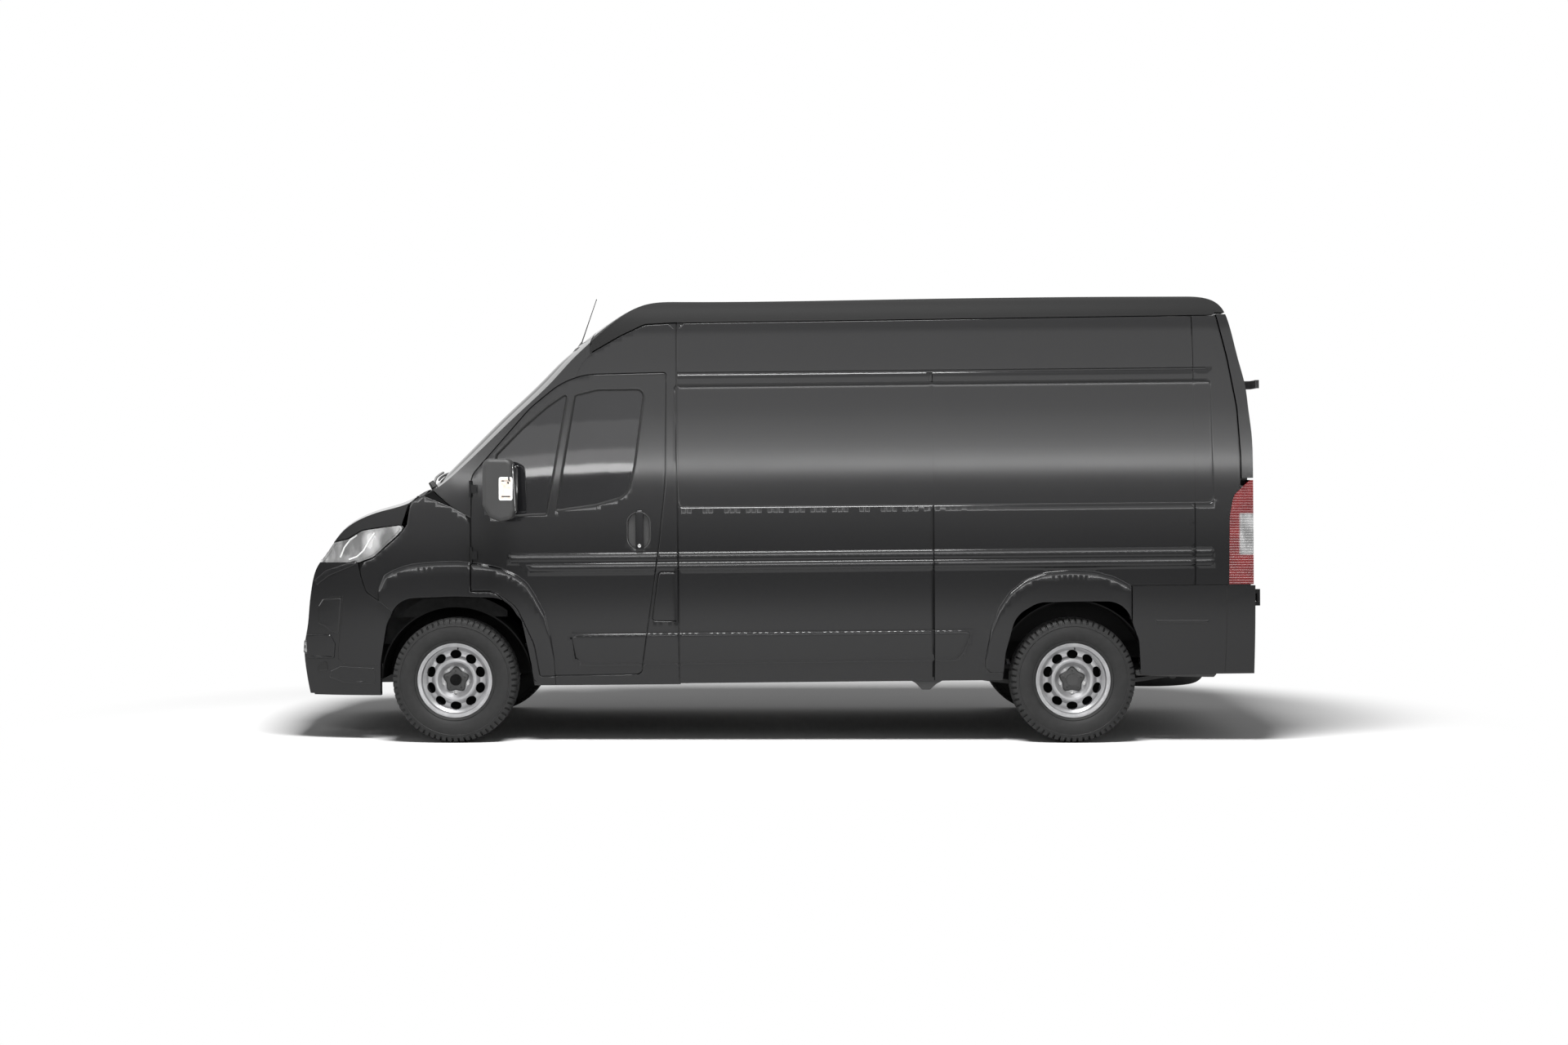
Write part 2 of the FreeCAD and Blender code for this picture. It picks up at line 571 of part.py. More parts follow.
# Raised forms on each side: outline, where its shares count from, and its height
RAISED_FORMS = {
    "front_flare": (FRONT_FLARE_SHARES, along, "flare_height"),
    "rear_flare": (REAR_FLARE_SHARES, behind_rear_axle, "flare_height"),
    "moulding": (MOULDING_SHARES, along, "moulding_height"),
    "swage": (SWAGE_SHARES, along, "swage_height"),
}
raised_forms = {}


def raised_form(name, side):
    if (name, side) not in raised_forms:
        shares, place, rise = RAISED_FORMS[name]
        region = side_region(shares, place, 0.0, side, FORM_FROM_SHARE)
        raised_forms[name, side] = panel(region, -size(rise), size("skin_thickness"))
    return raised_forms[name, side]


def formed(shape, region, side, names):
    """Adds the named raised forms as far as they lie in the region."""
    for name in names:
        shape = shape.fuse(raised_form(name, side).common(region))
    return shape


def sunk(shape, shares, depth, place=along, side=-1):
    """Sinks an outline's inside by a depth below the body's form."""
    region = side_region(shares, place, 0.0, side, FORM_FROM_SHARE)
    return shape.cut(region.cut(body_mass(depth)))


# Doors and their openings lap: the skin covers the flange that stays on the body
def lapped(shares, place=along, side=-1, grow=0.0):
    outer = side_region(shares, place, grow, side)
    inner = side_region(shares, place, grow - size("lap_width"), side)
    return outer, inner


def lapped_door(shares, side, names):
    outer, inner = lapped(shares, along, side)
    skin = size("skin_thickness")
    door = panel(outer, 0.0, skin).fuse(panel(inner, skin - size("weld"))).removeSplitter()
    return formed(door, outer, side, names)


def cut_lapped(shape, shares, side):
    """Cuts a door's opening, with a gap round its skin and behind it."""
    behind = size("skin_thickness") + size("lap_clearance")
    outer, inner = lapped(shares, along, side, size("panel_gap"))
    rebate = outer.cut(body_mass(behind))
    return shape.cut(rebate).cut(inner)


def glass_pane(shares, side):
    setback = size("glass_setback")
    pane = side_region(shares, along, -size("glass_gap"), side)
    return one_solid(panel(pane, setback, setback + size("glass_thickness")))


def with_handle(shape, place, side):
    """An oval pocket with an upright grip across it."""
    shape = sunk(shape, HANDLE_POCKET_SHARES, size("handle_pocket_depth"), place, side)
    grip = side_region(HANDLE_GRIP_SHARES, place, 0.0, side, FORM_FROM_SHARE)
    return shape.fuse(panel(grip, -size("handle_proud"), size("handle_depth")))


def at_cab_handle(share):
    return along(CAB_HANDLE_SHARE + share)


def at_sliding_handle(share):
    return along(SLIDING_HANDLE_SHARE + share)


def cab_door(side):
    door = lapped_door(CAB_DOOR_SHARES, side, ("front_flare", "moulding", "swage"))
    for shares in (DOOR_GLASS_SHARES, QUARTER_GLASS_SHARES):
        door = door.cut(side_region(shares, along, 0.0, side))
    door = with_handle(door, at_cab_handle, side)
    return one_solid(door.fuse(door_hinge_barrels(side)))


def door_glass(side):
    return Part.makeCompound([glass_pane(DOOR_GLASS_SHARES, side),
                              glass_pane(QUARTER_GLASS_SHARES, side)])


def headlamp(side):
    region = side_region(HEADLAMP_SHARES, along, 0.0, side, LAMP_FROM_SHARE)
    return one_solid(panel(region, size("headlamp_setback"), size("headlamp_depth")))


def front_wing(side):
    region = side_region(WING_SHARES, along, 0.0, side, WING_FROM_SHARE)
    wing = formed(panel(region, 0.0, size("wing_thickness")), region, side, ("front_flare",))
    return one_solid(wing.cut(side_region(FRONT_ARCH_SHARES, along, 0.0, side)))


# Each grille opening: low edge, high edge, half width, as shares of the body height
GRILLE_OPENINGS_SHARES = [(0.180, 0.262, 0.250), (0.335, 0.392, 0.200)]
NOSE_REACH_SHARE = 0.16
BUMPER_FLANGE_TOP_SHARE = 0.400
LAMP_FROM_SHARE = 0.5
SLAT_START_SHARE = 0.3
SLOT_SHARE = 0.55


def grille_opening(low, high, half):
    x = (nose_x - size("overrun"), along(NOSE_REACH_SHARE))
    return box(x, (-up(half), up(half)), (up(low), up(high)))


def bumper():
    depth = size("front_bumper_depth")
    shape = panel(through_prism(BUMPER_SHARES), 0.0, depth)
    below_hood = across_van((nose_x - size("overrun"), front_axle_x),
                            (0, up(BUMPER_FLANGE_TOP_SHARE)))
    flange = through_prism(BUMPER_SHARES, along, size("flange_reach")).common(below_hood)
    shape = shape.fuse(panel(flange, size("wing_thickness") + size("fit"), depth))
    for side in (-1, 1):
        shape = shape.cut(side_region(FRONT_ARCH_SHARES, along, 0.0, side))
    for low, high, half in GRILLE_OPENINGS_SHARES:
        shape = shape.cut(grille_opening(low, high, half))
    return one_solid(shape)


def grille():
    """Level slats in each opening of the bumper."""
    slabs = []
    inset = size("grille_setback")
    border = size("grille_border")
    count = int(size("slat_count"))
    for low, high, half in GRILLE_OPENINGS_SHARES:
        bars = panel(grille_opening(low, high, half), inset, inset + size("grille_thickness"))
        pitch = (up(high) - up(low)) / count
        for row in range(count):
            floor_z = up(low) + (row + SLAT_START_SHARE) * pitch
            x = (nose_x - size("overrun"), along(NOSE_REACH_SHARE))
            y = (-up(half) + border, up(half) - border)
            bars = bars.cut(box(x, y, (floor_z, floor_z + pitch * SLOT_SHARE)))
        slabs.append(one_solid(bars))
    return Part.makeCompound(slabs)


HOOD_LAMP_FROM_SHARE = 0.495


def hood():
    shape = panel(through_prism(HOOD_SHARES), 0.0, size("hood_thickness"))
    for side in (-1, 1):
        lamp = side_region(HEADLAMP_SHARES, along, size("panel_gap"), side, HOOD_LAMP_FROM_SHARE)
        shape = shape.cut(lamp)
        shape = shape.fuse(hood_hinge_barrel(side))
    return one_solid(shape)


# The windscreen's outline from the front: heights, half widths and corner radius
SCREEN_HEIGHT_SHARES = (0.540, 0.893)
SCREEN_HALF_WIDTH_SHARES = (0.350, 0.304)
SCREEN_CORNER_SHARE = 0.03
SCREEN_BASE_SHARE = 0.303
SCREEN_SPACE_SHARES = (-0.1, 0.8)
SCREEN_SPACE_LOW_SHARE = 0.3
ABOVE_ROOF_SHARE = 1.1


def screen_region(grow=0.0):
    low, high = (up(share) for share in SCREEN_HEIGHT_SHARES)
    base_half, top_half = (up(share) for share in SCREEN_HALF_WIDTH_SHARES)
    outline = [(-base_half, low), (-top_half, high), (top_half, high), (base_half, low)]
    corners = [(Vector(0, y, z), up(SCREEN_CORNER_SHARE)) for y, z in outline]
    face = face_of(corners, grow)
    start, end = (along(share) for share in SCREEN_SPACE_SHARES)
    face.translate(Vector(start, 0, 0))
    return face.extrude(Vector(end - start, 0, 0))


def behind_screen_base(grow=0.0):
    return across_van((along(SCREEN_BASE_SHARE) - grow, tail_x),
                      (up(SCREEN_SPACE_LOW_SHARE), up(ABOVE_ROOF_SHARE)))


def windscreen():
    setback = size("glass_setback")
    gap = size("glass_gap")
    glass = panel(screen_region(-gap), setback, setback + size("glass_thickness"))
    return one_solid(glass.common(behind_screen_base(-gap)))


def cab_frame():
    """Pillars, header, sills and the sunk scuttle that joins them under the windscreen."""
    region = through_prism(CAB_SIDE_SHARES)
    shape = panel(region)
    flange = through_prism(CAB_SIDE_SHARES, along, size("cab_seam") - size("fit"))
    shape = shape.fuse(panel(flange, size("wing_thickness") + size("fit")))
    shape = shape.cut(screen_region().common(behind_screen_base()))
    setback = size("scuttle_setback")
    scuttle = panel(through_prism(SCUTTLE_SHARES), setback, setback + size("scuttle_thickness"))
    shape = shape.fuse(scuttle)
    for side in (-1, 1):
        pillar = side_region(PILLAR_SHARES, along, 0.0, side, WING_FROM_SHARE)
        shape = shape.fuse(panel(pillar, size("pillar_setback"), size("wall_thickness")))
        shape = shape.fuse(hood_hinge_bracket(side))
        shape = formed(shape, region, side, ("front_flare", "moulding", "swage"))
        shape = sunk(shape, SIDE_RECESS_SHARES, size("recess_depth"), along, side)
    for side in (-1, 1):
        shape = cut_lapped(shape, CAB_DOOR_SHARES, side)
        shape = shape.cut(side_region(FRONT_ARCH_SHARES, along, 0.0, side))
    shape = cut_flap_pocket(shape)
    for side in (-1, 1):
        shape = shape.fuse(door_hinge_leaves(side))
    return one_solid(shape.fuse(flap_hinge_lugs()))


# Hinges: each is a barrel on the moving piece between two on the body, on one line
def hinge_barrel(x, y, low, high, radius):
    return Part.makeCylinder(radius, high - low, Vector(x, y, low), Vector(0, 0, 1))


HINGE_HEIGHT_SHARES = (0.416, 0.564)


def cab_hinge_line(side):
    return nose_x + size("cab_door_hinge_back"), side * size("cab_door_hinge_reach")


def door_hinge_barrels(side):
    x, y = cab_hinge_line(side)
    leaf, length = size("hinge_leaf_height"), size("door_arm_length")
    barrels = []
    for share in HINGE_HEIGHT_SHARES:
        low = up(share)
        barrels.append(hinge_barrel(x, y, low, low + leaf, size("small_barrel_radius")))
        arm_y = (y + side * size("door_arm_edge"), y - side * length)
        barrels.append(box((x, x + length), arm_y, (low, low + leaf)))
    return barrels


def door_hinge_leaves(side):
    """The fixed leaves, which reach in between the wing's edge and the door's."""
    x, y = cab_hinge_line(side)
    fit, radius = size("fit"), size("small_barrel_radius")
    whole, half = size("hinge_leaf_height"), size("hinge_leaf_height") / 2
    leaves = []
    for share in HINGE_HEIGHT_SHARES:
        for low in (up(share) - half - fit, up(share) + whole + fit):
            leaves.append(hinge_barrel(x, y, low, low + half, radius))
            leaf_x = x - radius - size("hinge_leaf_gap")
            leaves.append(box((leaf_x, leaf_x + size("hinge_leaf_thickness")),
                              (y, y - side * size("hinge_leaf_reach")), (low, low + half)))
    return leaves


FLAP_HINGE_SHARE = 0.8765
FLAP_BARREL_SHARES = (0.2765, 0.3835)


def flap_hinge_line():
    return along(FLAP_HINGE_SHARE), -size("flap_hinge_reach")


def flap_hinge_lugs():
    x, y = flap_hinge_line()
    low, high = (up(share) for share in FLAP_BARREL_SHARES)
    fit, radius, long = size("fit"), size("small_barrel_radius"), size("flap_lug_length")
    clear, edge = size("flap_foot_clear"), size("flap_arm_edge")
    lugs = []
    for start, end, foot_start, foot_end in (
            (high + fit, high + fit + long, high + clear, high + fit + long),
            (low - fit - long, low - fit, low - fit - long, low - clear)):
        lugs.append(hinge_barrel(x, y, start, end, radius))
        lugs.append(box((x - size("flap_foot_width"), x),
                        (y - edge, y + size("flap_foot_depth")), (foot_start, foot_end)))
    return lugs


def cut_flap_pocket(shape):
    pocket = side_region(FUEL_FLAP_SHARES, along, size("panel_gap"))
    return shape.cut(pocket.cut(body_mass(size("skin_thickness") + size("lap_clearance"))))


def fuel_flap():
    flap = panel(side_region(FUEL_FLAP_SHARES), 0.0, size("skin_thickness"))
    x, y = flap_hinge_line()
    low, high = (up(share) for share in FLAP_BARREL_SHARES)
    reach = size("flap_arm_width")
    arm = box((x - reach, x), (y - size("flap_arm_edge"), y + reach), (low, high))
    return one_solid(flap.fuse([arm, hinge_barrel(x, y, low, high, size("small_barrel_radius"))]))


HOOD_HINGE_SHARE = 0.279


def hood_hinge_bracket(side):
    """A bracket that rises from the scuttle and meets the bonnet's hinge barrel."""
    x = along(HOOD_HINGE_SHARE) + size("hood_barrel_radius") + size("fit")
    middle, half = side * size("hood_hinge_reach"), size("hood_barrel_length") / 2
    top = size("hood_hinge_height") + size("hood_bracket_rise")
    return box((x, x + size("hood_bracket_thickness")), (middle - half, middle + half),
               (top - size("hood_bracket_height"), top))


def hood_hinge_barrel(side):
    long = size("hood_barrel_length")
    start = Vector(along(HOOD_HINGE_SHARE), side * size("hood_hinge_reach") - long / 2,
                   size("hood_hinge_height"))
    return Part.makeCylinder(size("hood_barrel_radius"), long, start, Vector(0, 1, 0))


REAR_HINGE_SHARES = (0.305, 0.780)


def rear_hinge_line(side):
    return tail_x + size("rear_hinge_beyond"), side * size("rear_hinge_reach")


def rear_hinge_arm(side, low):
    """The moving leaf, from the door's face out to the pin."""
    x, y = rear_hinge_line(side)
    leaf, half = size("hinge_leaf_height"), size("rear_arm_thickness") / 2
    inner = side * size("rear_foot_inner")
    arm = box((x - half, x + half), (y, inner), (low, low + leaf))
    foot = box((x - size("rear_foot_length"), x + half),
               (inner, inner + side * size("rear_foot_width")), (low, low + leaf))
    return arm.fuse([foot, hinge_barrel(x, y, low, low + leaf, size("rear_barrel_radius"))])


def rear_hinge_leaves(side, low, back):
    """The fixed leaves, from the body's side round to the pin, above and below the moving one."""
    x, y = rear_hinge_line(side)
    fit, radius = size("fit"), size("rear_barrel_radius")
    whole, half = size("hinge_leaf_height"), size("hinge_leaf_height") / 2
    parts = []
    for start in (low - half - fit, low + whole + fit):
        parts.append(hinge_barrel(x, y, start, start + half, radius))
        edge = y + side * radius
        parts.append(box((x - back, x), (edge - side * size("rear_leaf_thickness"), edge),
                         (start, start + half)))
    return parts


SIDE_PANEL_FROM_SHARE = 0.66


def side_panel(side):
    region = side_region(SIDE_PANEL_SHARES, along, 0.0, side, SIDE_PANEL_FROM_SHARE)
    region = region.cut(through_prism(CAB_SIDE_SHARES, along, size("cab_seam")))
    shape = formed(panel(region), region, side, ("rear_flare", "moulding", "swage"))
    shape = sunk(shape, SIDE_RECESS_SHARES, size("recess_depth"), along, side)
    shape = sunk(shape, TOP_GROOVE_SHARES, size("top_groove_depth"), along, side)
    for seam in SEAM_SHARES[1 if side > 0 else 0:]:
        start, top = along(seam[0]), up(seam[1])
        groove = across_van((start, start + size("seam_width")), (0, top))
        shape = shape.cut(groove.cut(body_mass(size("seam_depth"))))
    shape = shape.cut(side_region(REAR_ARCH_SHARES, behind_rear_axle, 0.0, side))
    lamp_seat = side_prism(TAIL_LAMP_SHARES, behind_rear_axle, size("fit"),
                           LAMP_FROM_SHARE, 1.0, side)
    shape = shape.cut(lamp_seat)
    if side > 0:
        shape = cut_lapped(shape, SLIDING_DOOR_SHARES, side)
        shape = sunk(shape, DOOR_RAIL_SHARES, size("rail_groove_depth"), along, side)
    for part in rear_hinge_leaves(side, up(REAR_HINGE_SHARES[1]), size("upper_leaf_length")):
        shape = shape.fuse(part)
    return one_solid(shape)


def roof():
    shape = panel(through_prism(ROOF_SHARES))
    return one_solid(shape.cut(through_prism(CAB_SIDE_SHARES, along, size("cab_seam"))))


def tail_lamp(side):
    region = side_region(TAIL_LAMP_SHARES, behind_rear_axle, 0.0, side, WING_FROM_SHARE)
    return one_solid(panel(region, 0.0, size("tail_lamp_depth")))


# The gap in the rear bumper for the doors: half width, low and high edge
DOOR_GAP_SHARES = (0.338, 0.188, 0.5)
TAIL_SPACE_SHARE = 2.0


def behind_tail(y, z):
    """A box at the van's tail between pairs of limits."""
    return box((along(TAIL_SPACE_SHARE), tail_x + size("overrun")), y, z)


def rear_bumper():
    depth = size("rear_bumper_depth")
    region = through_prism(REAR_BUMPER_SHARES, behind_rear_axle)
    flange = through_prism(REAR_BUMPER_FLANGE_SHARES, behind_rear_axle)
    shape = panel(region, -size("rear_bumper_proud"), depth)
    shape = shape.fuse(panel(flange, size("skin_thickness"), depth))
    for side in (-1, 1):
        shape = shape.cut(side_region(REAR_ARCH_SHARES, behind_rear_axle, 0.0, side))
    half, low, high = (up(share) for share in DOOR_GAP_SHARES)
    shape = shape.cut(behind_tail((-half, half), (low, high)))
    for side in (-1, 1):
        lower = up(REAR_HINGE_SHARES[0])
        for part in rear_hinge_leaves(side, lower, size("lower_leaf_length")):
            shape = shape.fuse(part)
    return one_solid(shape)


REAR_DOOR_SHARES = [
    (2.1347, 0.5805, 0.0), (2.1344, 0.627, 0.200), (2.1279, 0.737, 0.200),
    (2.1087, 0.848, 0.200), (2.0862, 0.947, 0.0), (2.2400, 0.947, 0.0), (2.2400, 0.5805, 0.0),
]
REAR_DOOR_SHOULDER_SHARE = 0.5805
REAR_DOOR_LOW_SHARE = 0.190
REAR_DOOR_HALF_SHARES = (0.0016, 0.331)
REAR_RECESS_HALF_SHARES = (0.036, 0.304)
REAR_RECESS_HEIGHT_SHARES = ((0.224, 0.460), (0.532, 0.820))


def rear_door(side):
    inner_y, lower_y = (side * up(share) for share in REAR_DOOR_HALF_SHARES)
    inner_share = REAR_DOOR_HALF_SHARES[0] * height / size("mass_half_width")
    high = side_region(REAR_DOOR_SHARES, along, 0.0, side, inner_share)
    x = (along(REAR_DOOR_SHARES[0][0]), tail_x + size("overrun"))
    low = box(x, (inner_y, lower_y), (up(REAR_DOOR_LOW_SHARE), up(REAR_DOOR_SHOULDER_SHARE)))
    door = panel(high.fuse(low))
    recess_y = [side * up(share) for share in REAR_RECESS_HALF_SHARES]
    for bottom, top in REAR_RECESS_HEIGHT_SHARES:
        recess = behind_tail(recess_y, (up(bottom), up(top)))
        door = door.cut(recess.cut(body_mass(size("rear_recess_depth"))))
    for share in REAR_HINGE_SHARES:
        door = door.fuse(rear_hinge_arm(side, up(share)))
    return one_solid(door)


def sliding_door():
    door = lapped_door(SLIDING_DOOR_SHARES, 1, ("moulding", "swage"))
    door = sunk(door, SIDE_RECESS_SHARES, size("recess_depth"), along, 1)
    return one_solid(with_handle(door, at_sliding_handle, 1).removeSplitter())


# Wheels, made about their own axle with the outer face towards -Y
FULL_TURN = 360
TYRE_SHARES = [
    (0.70, 1.000), (0.90, 0.977), (0.97, 0.931), (1.00, 0.822), (0.985, 0.695), (0.90, 0.632),
]
RIM_OUTER_SHARES = [
    (1.000, 1.000), (0.886, 1.000), (0.864, 0.933), (0.545, 0.913), (0.341, 0.827),
]
RIM_INNER_SHARES = [(0.386, 0.798), (0.545, 0.885), (0.932, 0.904), (1.000, 0.971)]
DISC_SHARES = [
    (0.386, 0.798), (0.432, 0.731), (0.455, 0.654), (0.659, 0.567), (0.705, 0.529),
    (0.659, 0.481), (0.386, 0.385), (0.341, 0.351),
]


def sketch_on(body, label, role):
    sketch = body.newObject("Sketcher::SketchObject", label)
    plane = [f for f in body.Origin.OriginFeatures if f.Role == role][0]
    sketch.AttachmentSupport = [(plane, "")]
    sketch.MapMode = "FlatFace"
    return sketch


def closed_polyline(sketch, points):
    for start, end in zip(points, points[1:] + points[:1]):
        sketch.addGeometry(Part.LineSegment(Vector(*start, 0), Vector(*end, 0)), False)


def revolved_body(label, points):
    """A body turned about X, from points of distance along it and radius."""
    body = doc.addObject("PartDesign::Body", label)
    body.Label = label
    sketch = sketch_on(body, label + "_section", "XY_Plane")
    closed_polyline(sketch, points)
    turn = body.newObject("PartDesign::Revolution", label + "_turn")
    turn.Profile = sketch
    turn.ReferenceAxis = (sketch, ["H_Axis"])
    turn.Angle = FULL_TURN
    return body


def wheel_place(x, side):
    outward = FreeCAD.Rotation(Vector(0, 0, 1), 90 * side)
    return FreeCAD.Placement(Vector(x, side * size("half_track"), size("tyre_radius")), outward)


def scaled(shares, half, radius):
    return [(x * half, r * radius) for x, r in shares]


def both_halves(points):
    return points + [(-x, r) for x, r in reversed(points)]


def tyre_points():
    fit, lip = size("fit"), size("rim_width") / 2
    bead, over_lip = size("rim_lip_radius") + fit, size("rim_radius") + fit
    section = scaled(TYRE_SHARES, size("tyre_width") / 2, size("tyre_radius"))
    edge = lip - size("bead_width")
    section += [(lip + size("bead_edge"), over_lip), (edge, over_lip), (edge, bead)]
    return both_halves(section)


def rim_points():
    half, radius = size("rim_width") / 2, size("rim_radius")
    outer = both_halves(scaled(RIM_OUTER_SHARES, half, radius))
    inner = scaled(RIM_INNER_SHARES, half, radius)
    disc = scaled(DISC_SHARES, half, radius)
    disc.append((disc[-1][0], size("hub_bore_radius")))
    back = [(x - size("disc_thickness"), r) for x, r in disc]
    far_side = [(-x, r) for x, r in reversed(inner)]
    return outer + far_side + back + disc[::-1] + inner[1:]


def tyre(label, x, side):
    body = revolved_body(label, tyre_points())
    body.Placement = wheel_place(x, side)
    made.append(body)


def wheel(label, x, side):
    body = revolved_body(label, rim_points())
    vent = sketch_on(body, label + "_vent", "YZ_Plane")
    circle, half_width = size("vent_circle_radius"), size("vent_half_width")
    tip = Vector(size("vent_half_length"), circle, 0)
    vent.addGeometry(Part.Ellipse(tip, Vector(0, circle + half_width, 0),
                                  Vector(0, circle, 0)), False)
    pocket = body.newObject("PartDesign::Pocket", label + "_vent_pocket")
    pocket.Profile = vent
    pocket.Type = "ThroughAll"
    pocket.Midplane = True
    pattern = body.newObject("PartDesign::PolarPattern", label + "_vents")
    pattern.Originals = [pocket]
    pattern.Axis = (vent, ["N_Axis"])
    pattern.Angle = FULL_TURN
    pattern.setExpression("Occurrences", bound("vent_count"))
    body.Tip = pattern
    body.Placement = wheel_place(x, side)
    made.append(body)


# Primitives whose sizes are rules about the sheet
def place_rules(feature, x, y, z):
    for axis, rule in zip("xyz", (x, y, z)):
        feature.setExpression(f"Placement.Base.{axis}", bound(rule))


def block(label, x, y, z, sizes):
    """A box by its low corner and its three sizes, all rules."""
    feature = doc.addObject("Part::Box", label)
    for name, rule in zip(("Length", "Width", "Height"), sizes):
        feature.setExpression(name, bound(rule))
    place_rules(feature, x, y, z)
    return feature


def bar(label, start, direction, radius, reach):
    """A round bar from a start, along one axis."""
    feature = doc.addObject("Part::Cylinder", label)
    feature.setExpression("Radius", bound(radius))
    feature.setExpression("Height", bound(reach))
    turns = {"x": (Vector(0, 1, 0), 90), "y": (Vector(1, 0, 0), -90), "z": (Vector(0, 0, 1), 0)}
    axis, angle = turns[direction]
    feature.Placement = FreeCAD.Placement(Vector(0, 0, 0), FreeCAD.Rotation(axis, angle))
    place_rules(feature, *start)
    return feature


def joined(label, parts, leans=True):
    feature = doc.addObject("Part::MultiFuse", label)
    feature.Label = label
    feature.Shapes = parts
    feature.Refine = True
    if leans:
        feature.Placement = STANCE
    made.append(feature)
    return feature


# Body panels
for name, side in (("left", -1), ("right", 1)):
    piece(f"cab_door_{name}", cab_door(side))
    piece(f"door_glass_{name}", door_glass(side))
    piece(f"wing_{name}", front_wing(side))
    piece(f"side_panel_{name}", side_panel(side))
    piece(f"rear_door_{name}", rear_door(side))
piece("headlamps", Part.makeCompound([headlamp(-1), headlamp(1)]))
piece("tail_lamps", Part.makeCompound([tail_lamp(-1), tail_lamp(1)]))
piece("front_bumper", bumper())
piece("grille", grille())
piece("bonnet", hood())
piece("windscreen", windscreen())
piece("cab_frame", cab_frame())
piece("roof_panel", roof())
piece("fuel_flap", fuel_flap())
piece("sliding_door", sliding_door())
piece("rear_bumper", rear_bumper())

# Tyres and wheels
AXLE_PLACES = (("front", front_axle_x), ("rear", rear_axle_x))
SIDES = (("left", -1), ("right", 1))
for axle, x in AXLE_PLACES:
    for name, side in SIDES:
        tyre(f"tyre_{axle}_{name}", x, side)
        wheel(f"wheel_{axle}_{name}", x, side)


# Steering and axles
def across(side, low, width):
    """The low Y of something that spans from low to low + width out from the middle."""
    return low if side > 0 else f"-({low}) - ({width})"


HUB_FACE = "half_track - hub_setback"
HUB_RADIUS = "hub_bore_radius - spindle_clearance"


def knuckle(name, side):
    """An upright that turns on the kingpin line, with the brake and the wheel's spindle."""
    label = f"knuckle_{name}"
    x, z = FRONT_AXLE, "tyre_radius"
    drum_in = f"{HUB_FACE} - brake_width"
    foot = "arm_low + ball_rise"
    spindle = bar(label + "_spindle", (x, across(side, HUB_FACE, "spindle_length"), z),
                  "y", HUB_RADIUS, "spindle_length")
    drum = bar(label + "_drum", (x, across(side, drum_in, "brake_width"), z),
               "y", "brake_radius", "brake_width")
    upright = bar(label + "_upright", (x, f"{side} * (kingpin_half_track - upright_inset)", foot),
                  "z", "upright_radius", "upright_height")
    ball = bar(label + "_ball", (x, f"{side} * kingpin_half_track", "arm_low"),
               "z", "kingpin_ball_radius", "kingpin_ball_length")
    bridge = block(label + "_bridge", f"{x} - upright_radius",
                   across(side, "kingpin_half_track - bridge_inset", "bridge_width"), foot,
                   ("2 * upright_radius", "bridge_width", "bridge_height"))
    arm_y = across(side, "kingpin_half_track - steering_arm_inset", "steering_arm_width")
    arm = block(label + "_arm", f"{x} + steering_arm_back", arm_y,
                "arm_low + steering_arm_rise",
                ("steering_arm_length", "steering_arm_width", "steering_arm_height"))
    joined(label, [spindle, drum, upright, ball, bridge, arm], False)


for name, side in SIDES:
    knuckle(name, side)

REAR_SPINDLE = f"{HUB_FACE} + spindle_length"
TUBE_END = "half_track - rear_tube_setback"
beam = bar("rear_beam", (REAR_AXLE, f"-({REAR_SPINDLE})", "tyre_radius"), "y",
           HUB_RADIUS, f"2 * ({REAR_SPINDLE})")
tube = bar("rear_tube", (REAR_AXLE, f"-({TUBE_END})", "tyre_radius"), "y",
           "rear_axle_radius", f"2 * ({TUBE_END})")
drums = [bar("rear_drum_left", (REAR_AXLE, f"-({HUB_FACE})", "tyre_radius"), "y",
             "brake_radius", "brake_width"),
         bar("rear_drum_right", (REAR_AXLE, f"{HUB_FACE} - brake_width", "tyre_radius"), "y",
             "brake_radius", "brake_width")]
joined("rear_axle", [beam, tube] + drums, False)


rail_top = size("rail_top")
rail_bottom = rail_top - size("rail_height")


def above_rail_bottom():
    """The space above the rails' lower faces, in the body's own lean."""
    slab = across_van((nose_x, tail_x), (rail_bottom - size("fit"), height))
    return slab.transformed(STANCE.toMatrix(), True)


def leaf_spring(side):
    """A leaf spring under the axle, bowed between its two eyes, with its hangers."""
    thickness = size("spring_thickness")
    reach = size("spring_half_length")
    low = size("tyre_radius") - size("rear_axle_radius") - thickness - size("fit")
    rise = size("spring_bow")
    start, middle = Vector(-reach, 0, low + rise), Vector(0, 0, low)
    end = Vector(reach, 0, low + rise)
    upward = Vector(0, 0, thickness)
    bottom = Part.Arc(start, middle, end).toShape()
    top = Part.Arc(start + upward, middle + upward, end + upward).toShape()
    ends = [Part.makeLine(start, start + upward), Part.makeLine(end, end + upward)]
    face = Part.Face(Part.Wire(Part.__sortEdges__([bottom, ends[1], top, ends[0]])))
    width = size("spring_width")
    place_y = side * size("spring_half_track") - width / 2
    face.translate(Vector(rear_axle_x, place_y, 0))
    leaf = face.extrude(Vector(0, width, 0))
    eye_z = low + rise + size("spring_eye_rise")
    half = size("spring_hanger_width") / 2
    for x in (rear_axle_x - reach, rear_axle_x + reach):
        eye = Part.makeCylinder(size("spring_eye_radius"), width, Vector(x, place_y, eye_z),
                                Vector(0, 1, 0))
        hanger = box((x - half, x + half), (place_y, place_y + width), (eye_z, rail_top))
        leaf = leaf.fuse([eye, hanger])
    return leaf.cut(above_rail_bottom())


piece("leaf_springs", Part.makeCompound([leaf_spring(-1), leaf_spring(1)]), False)

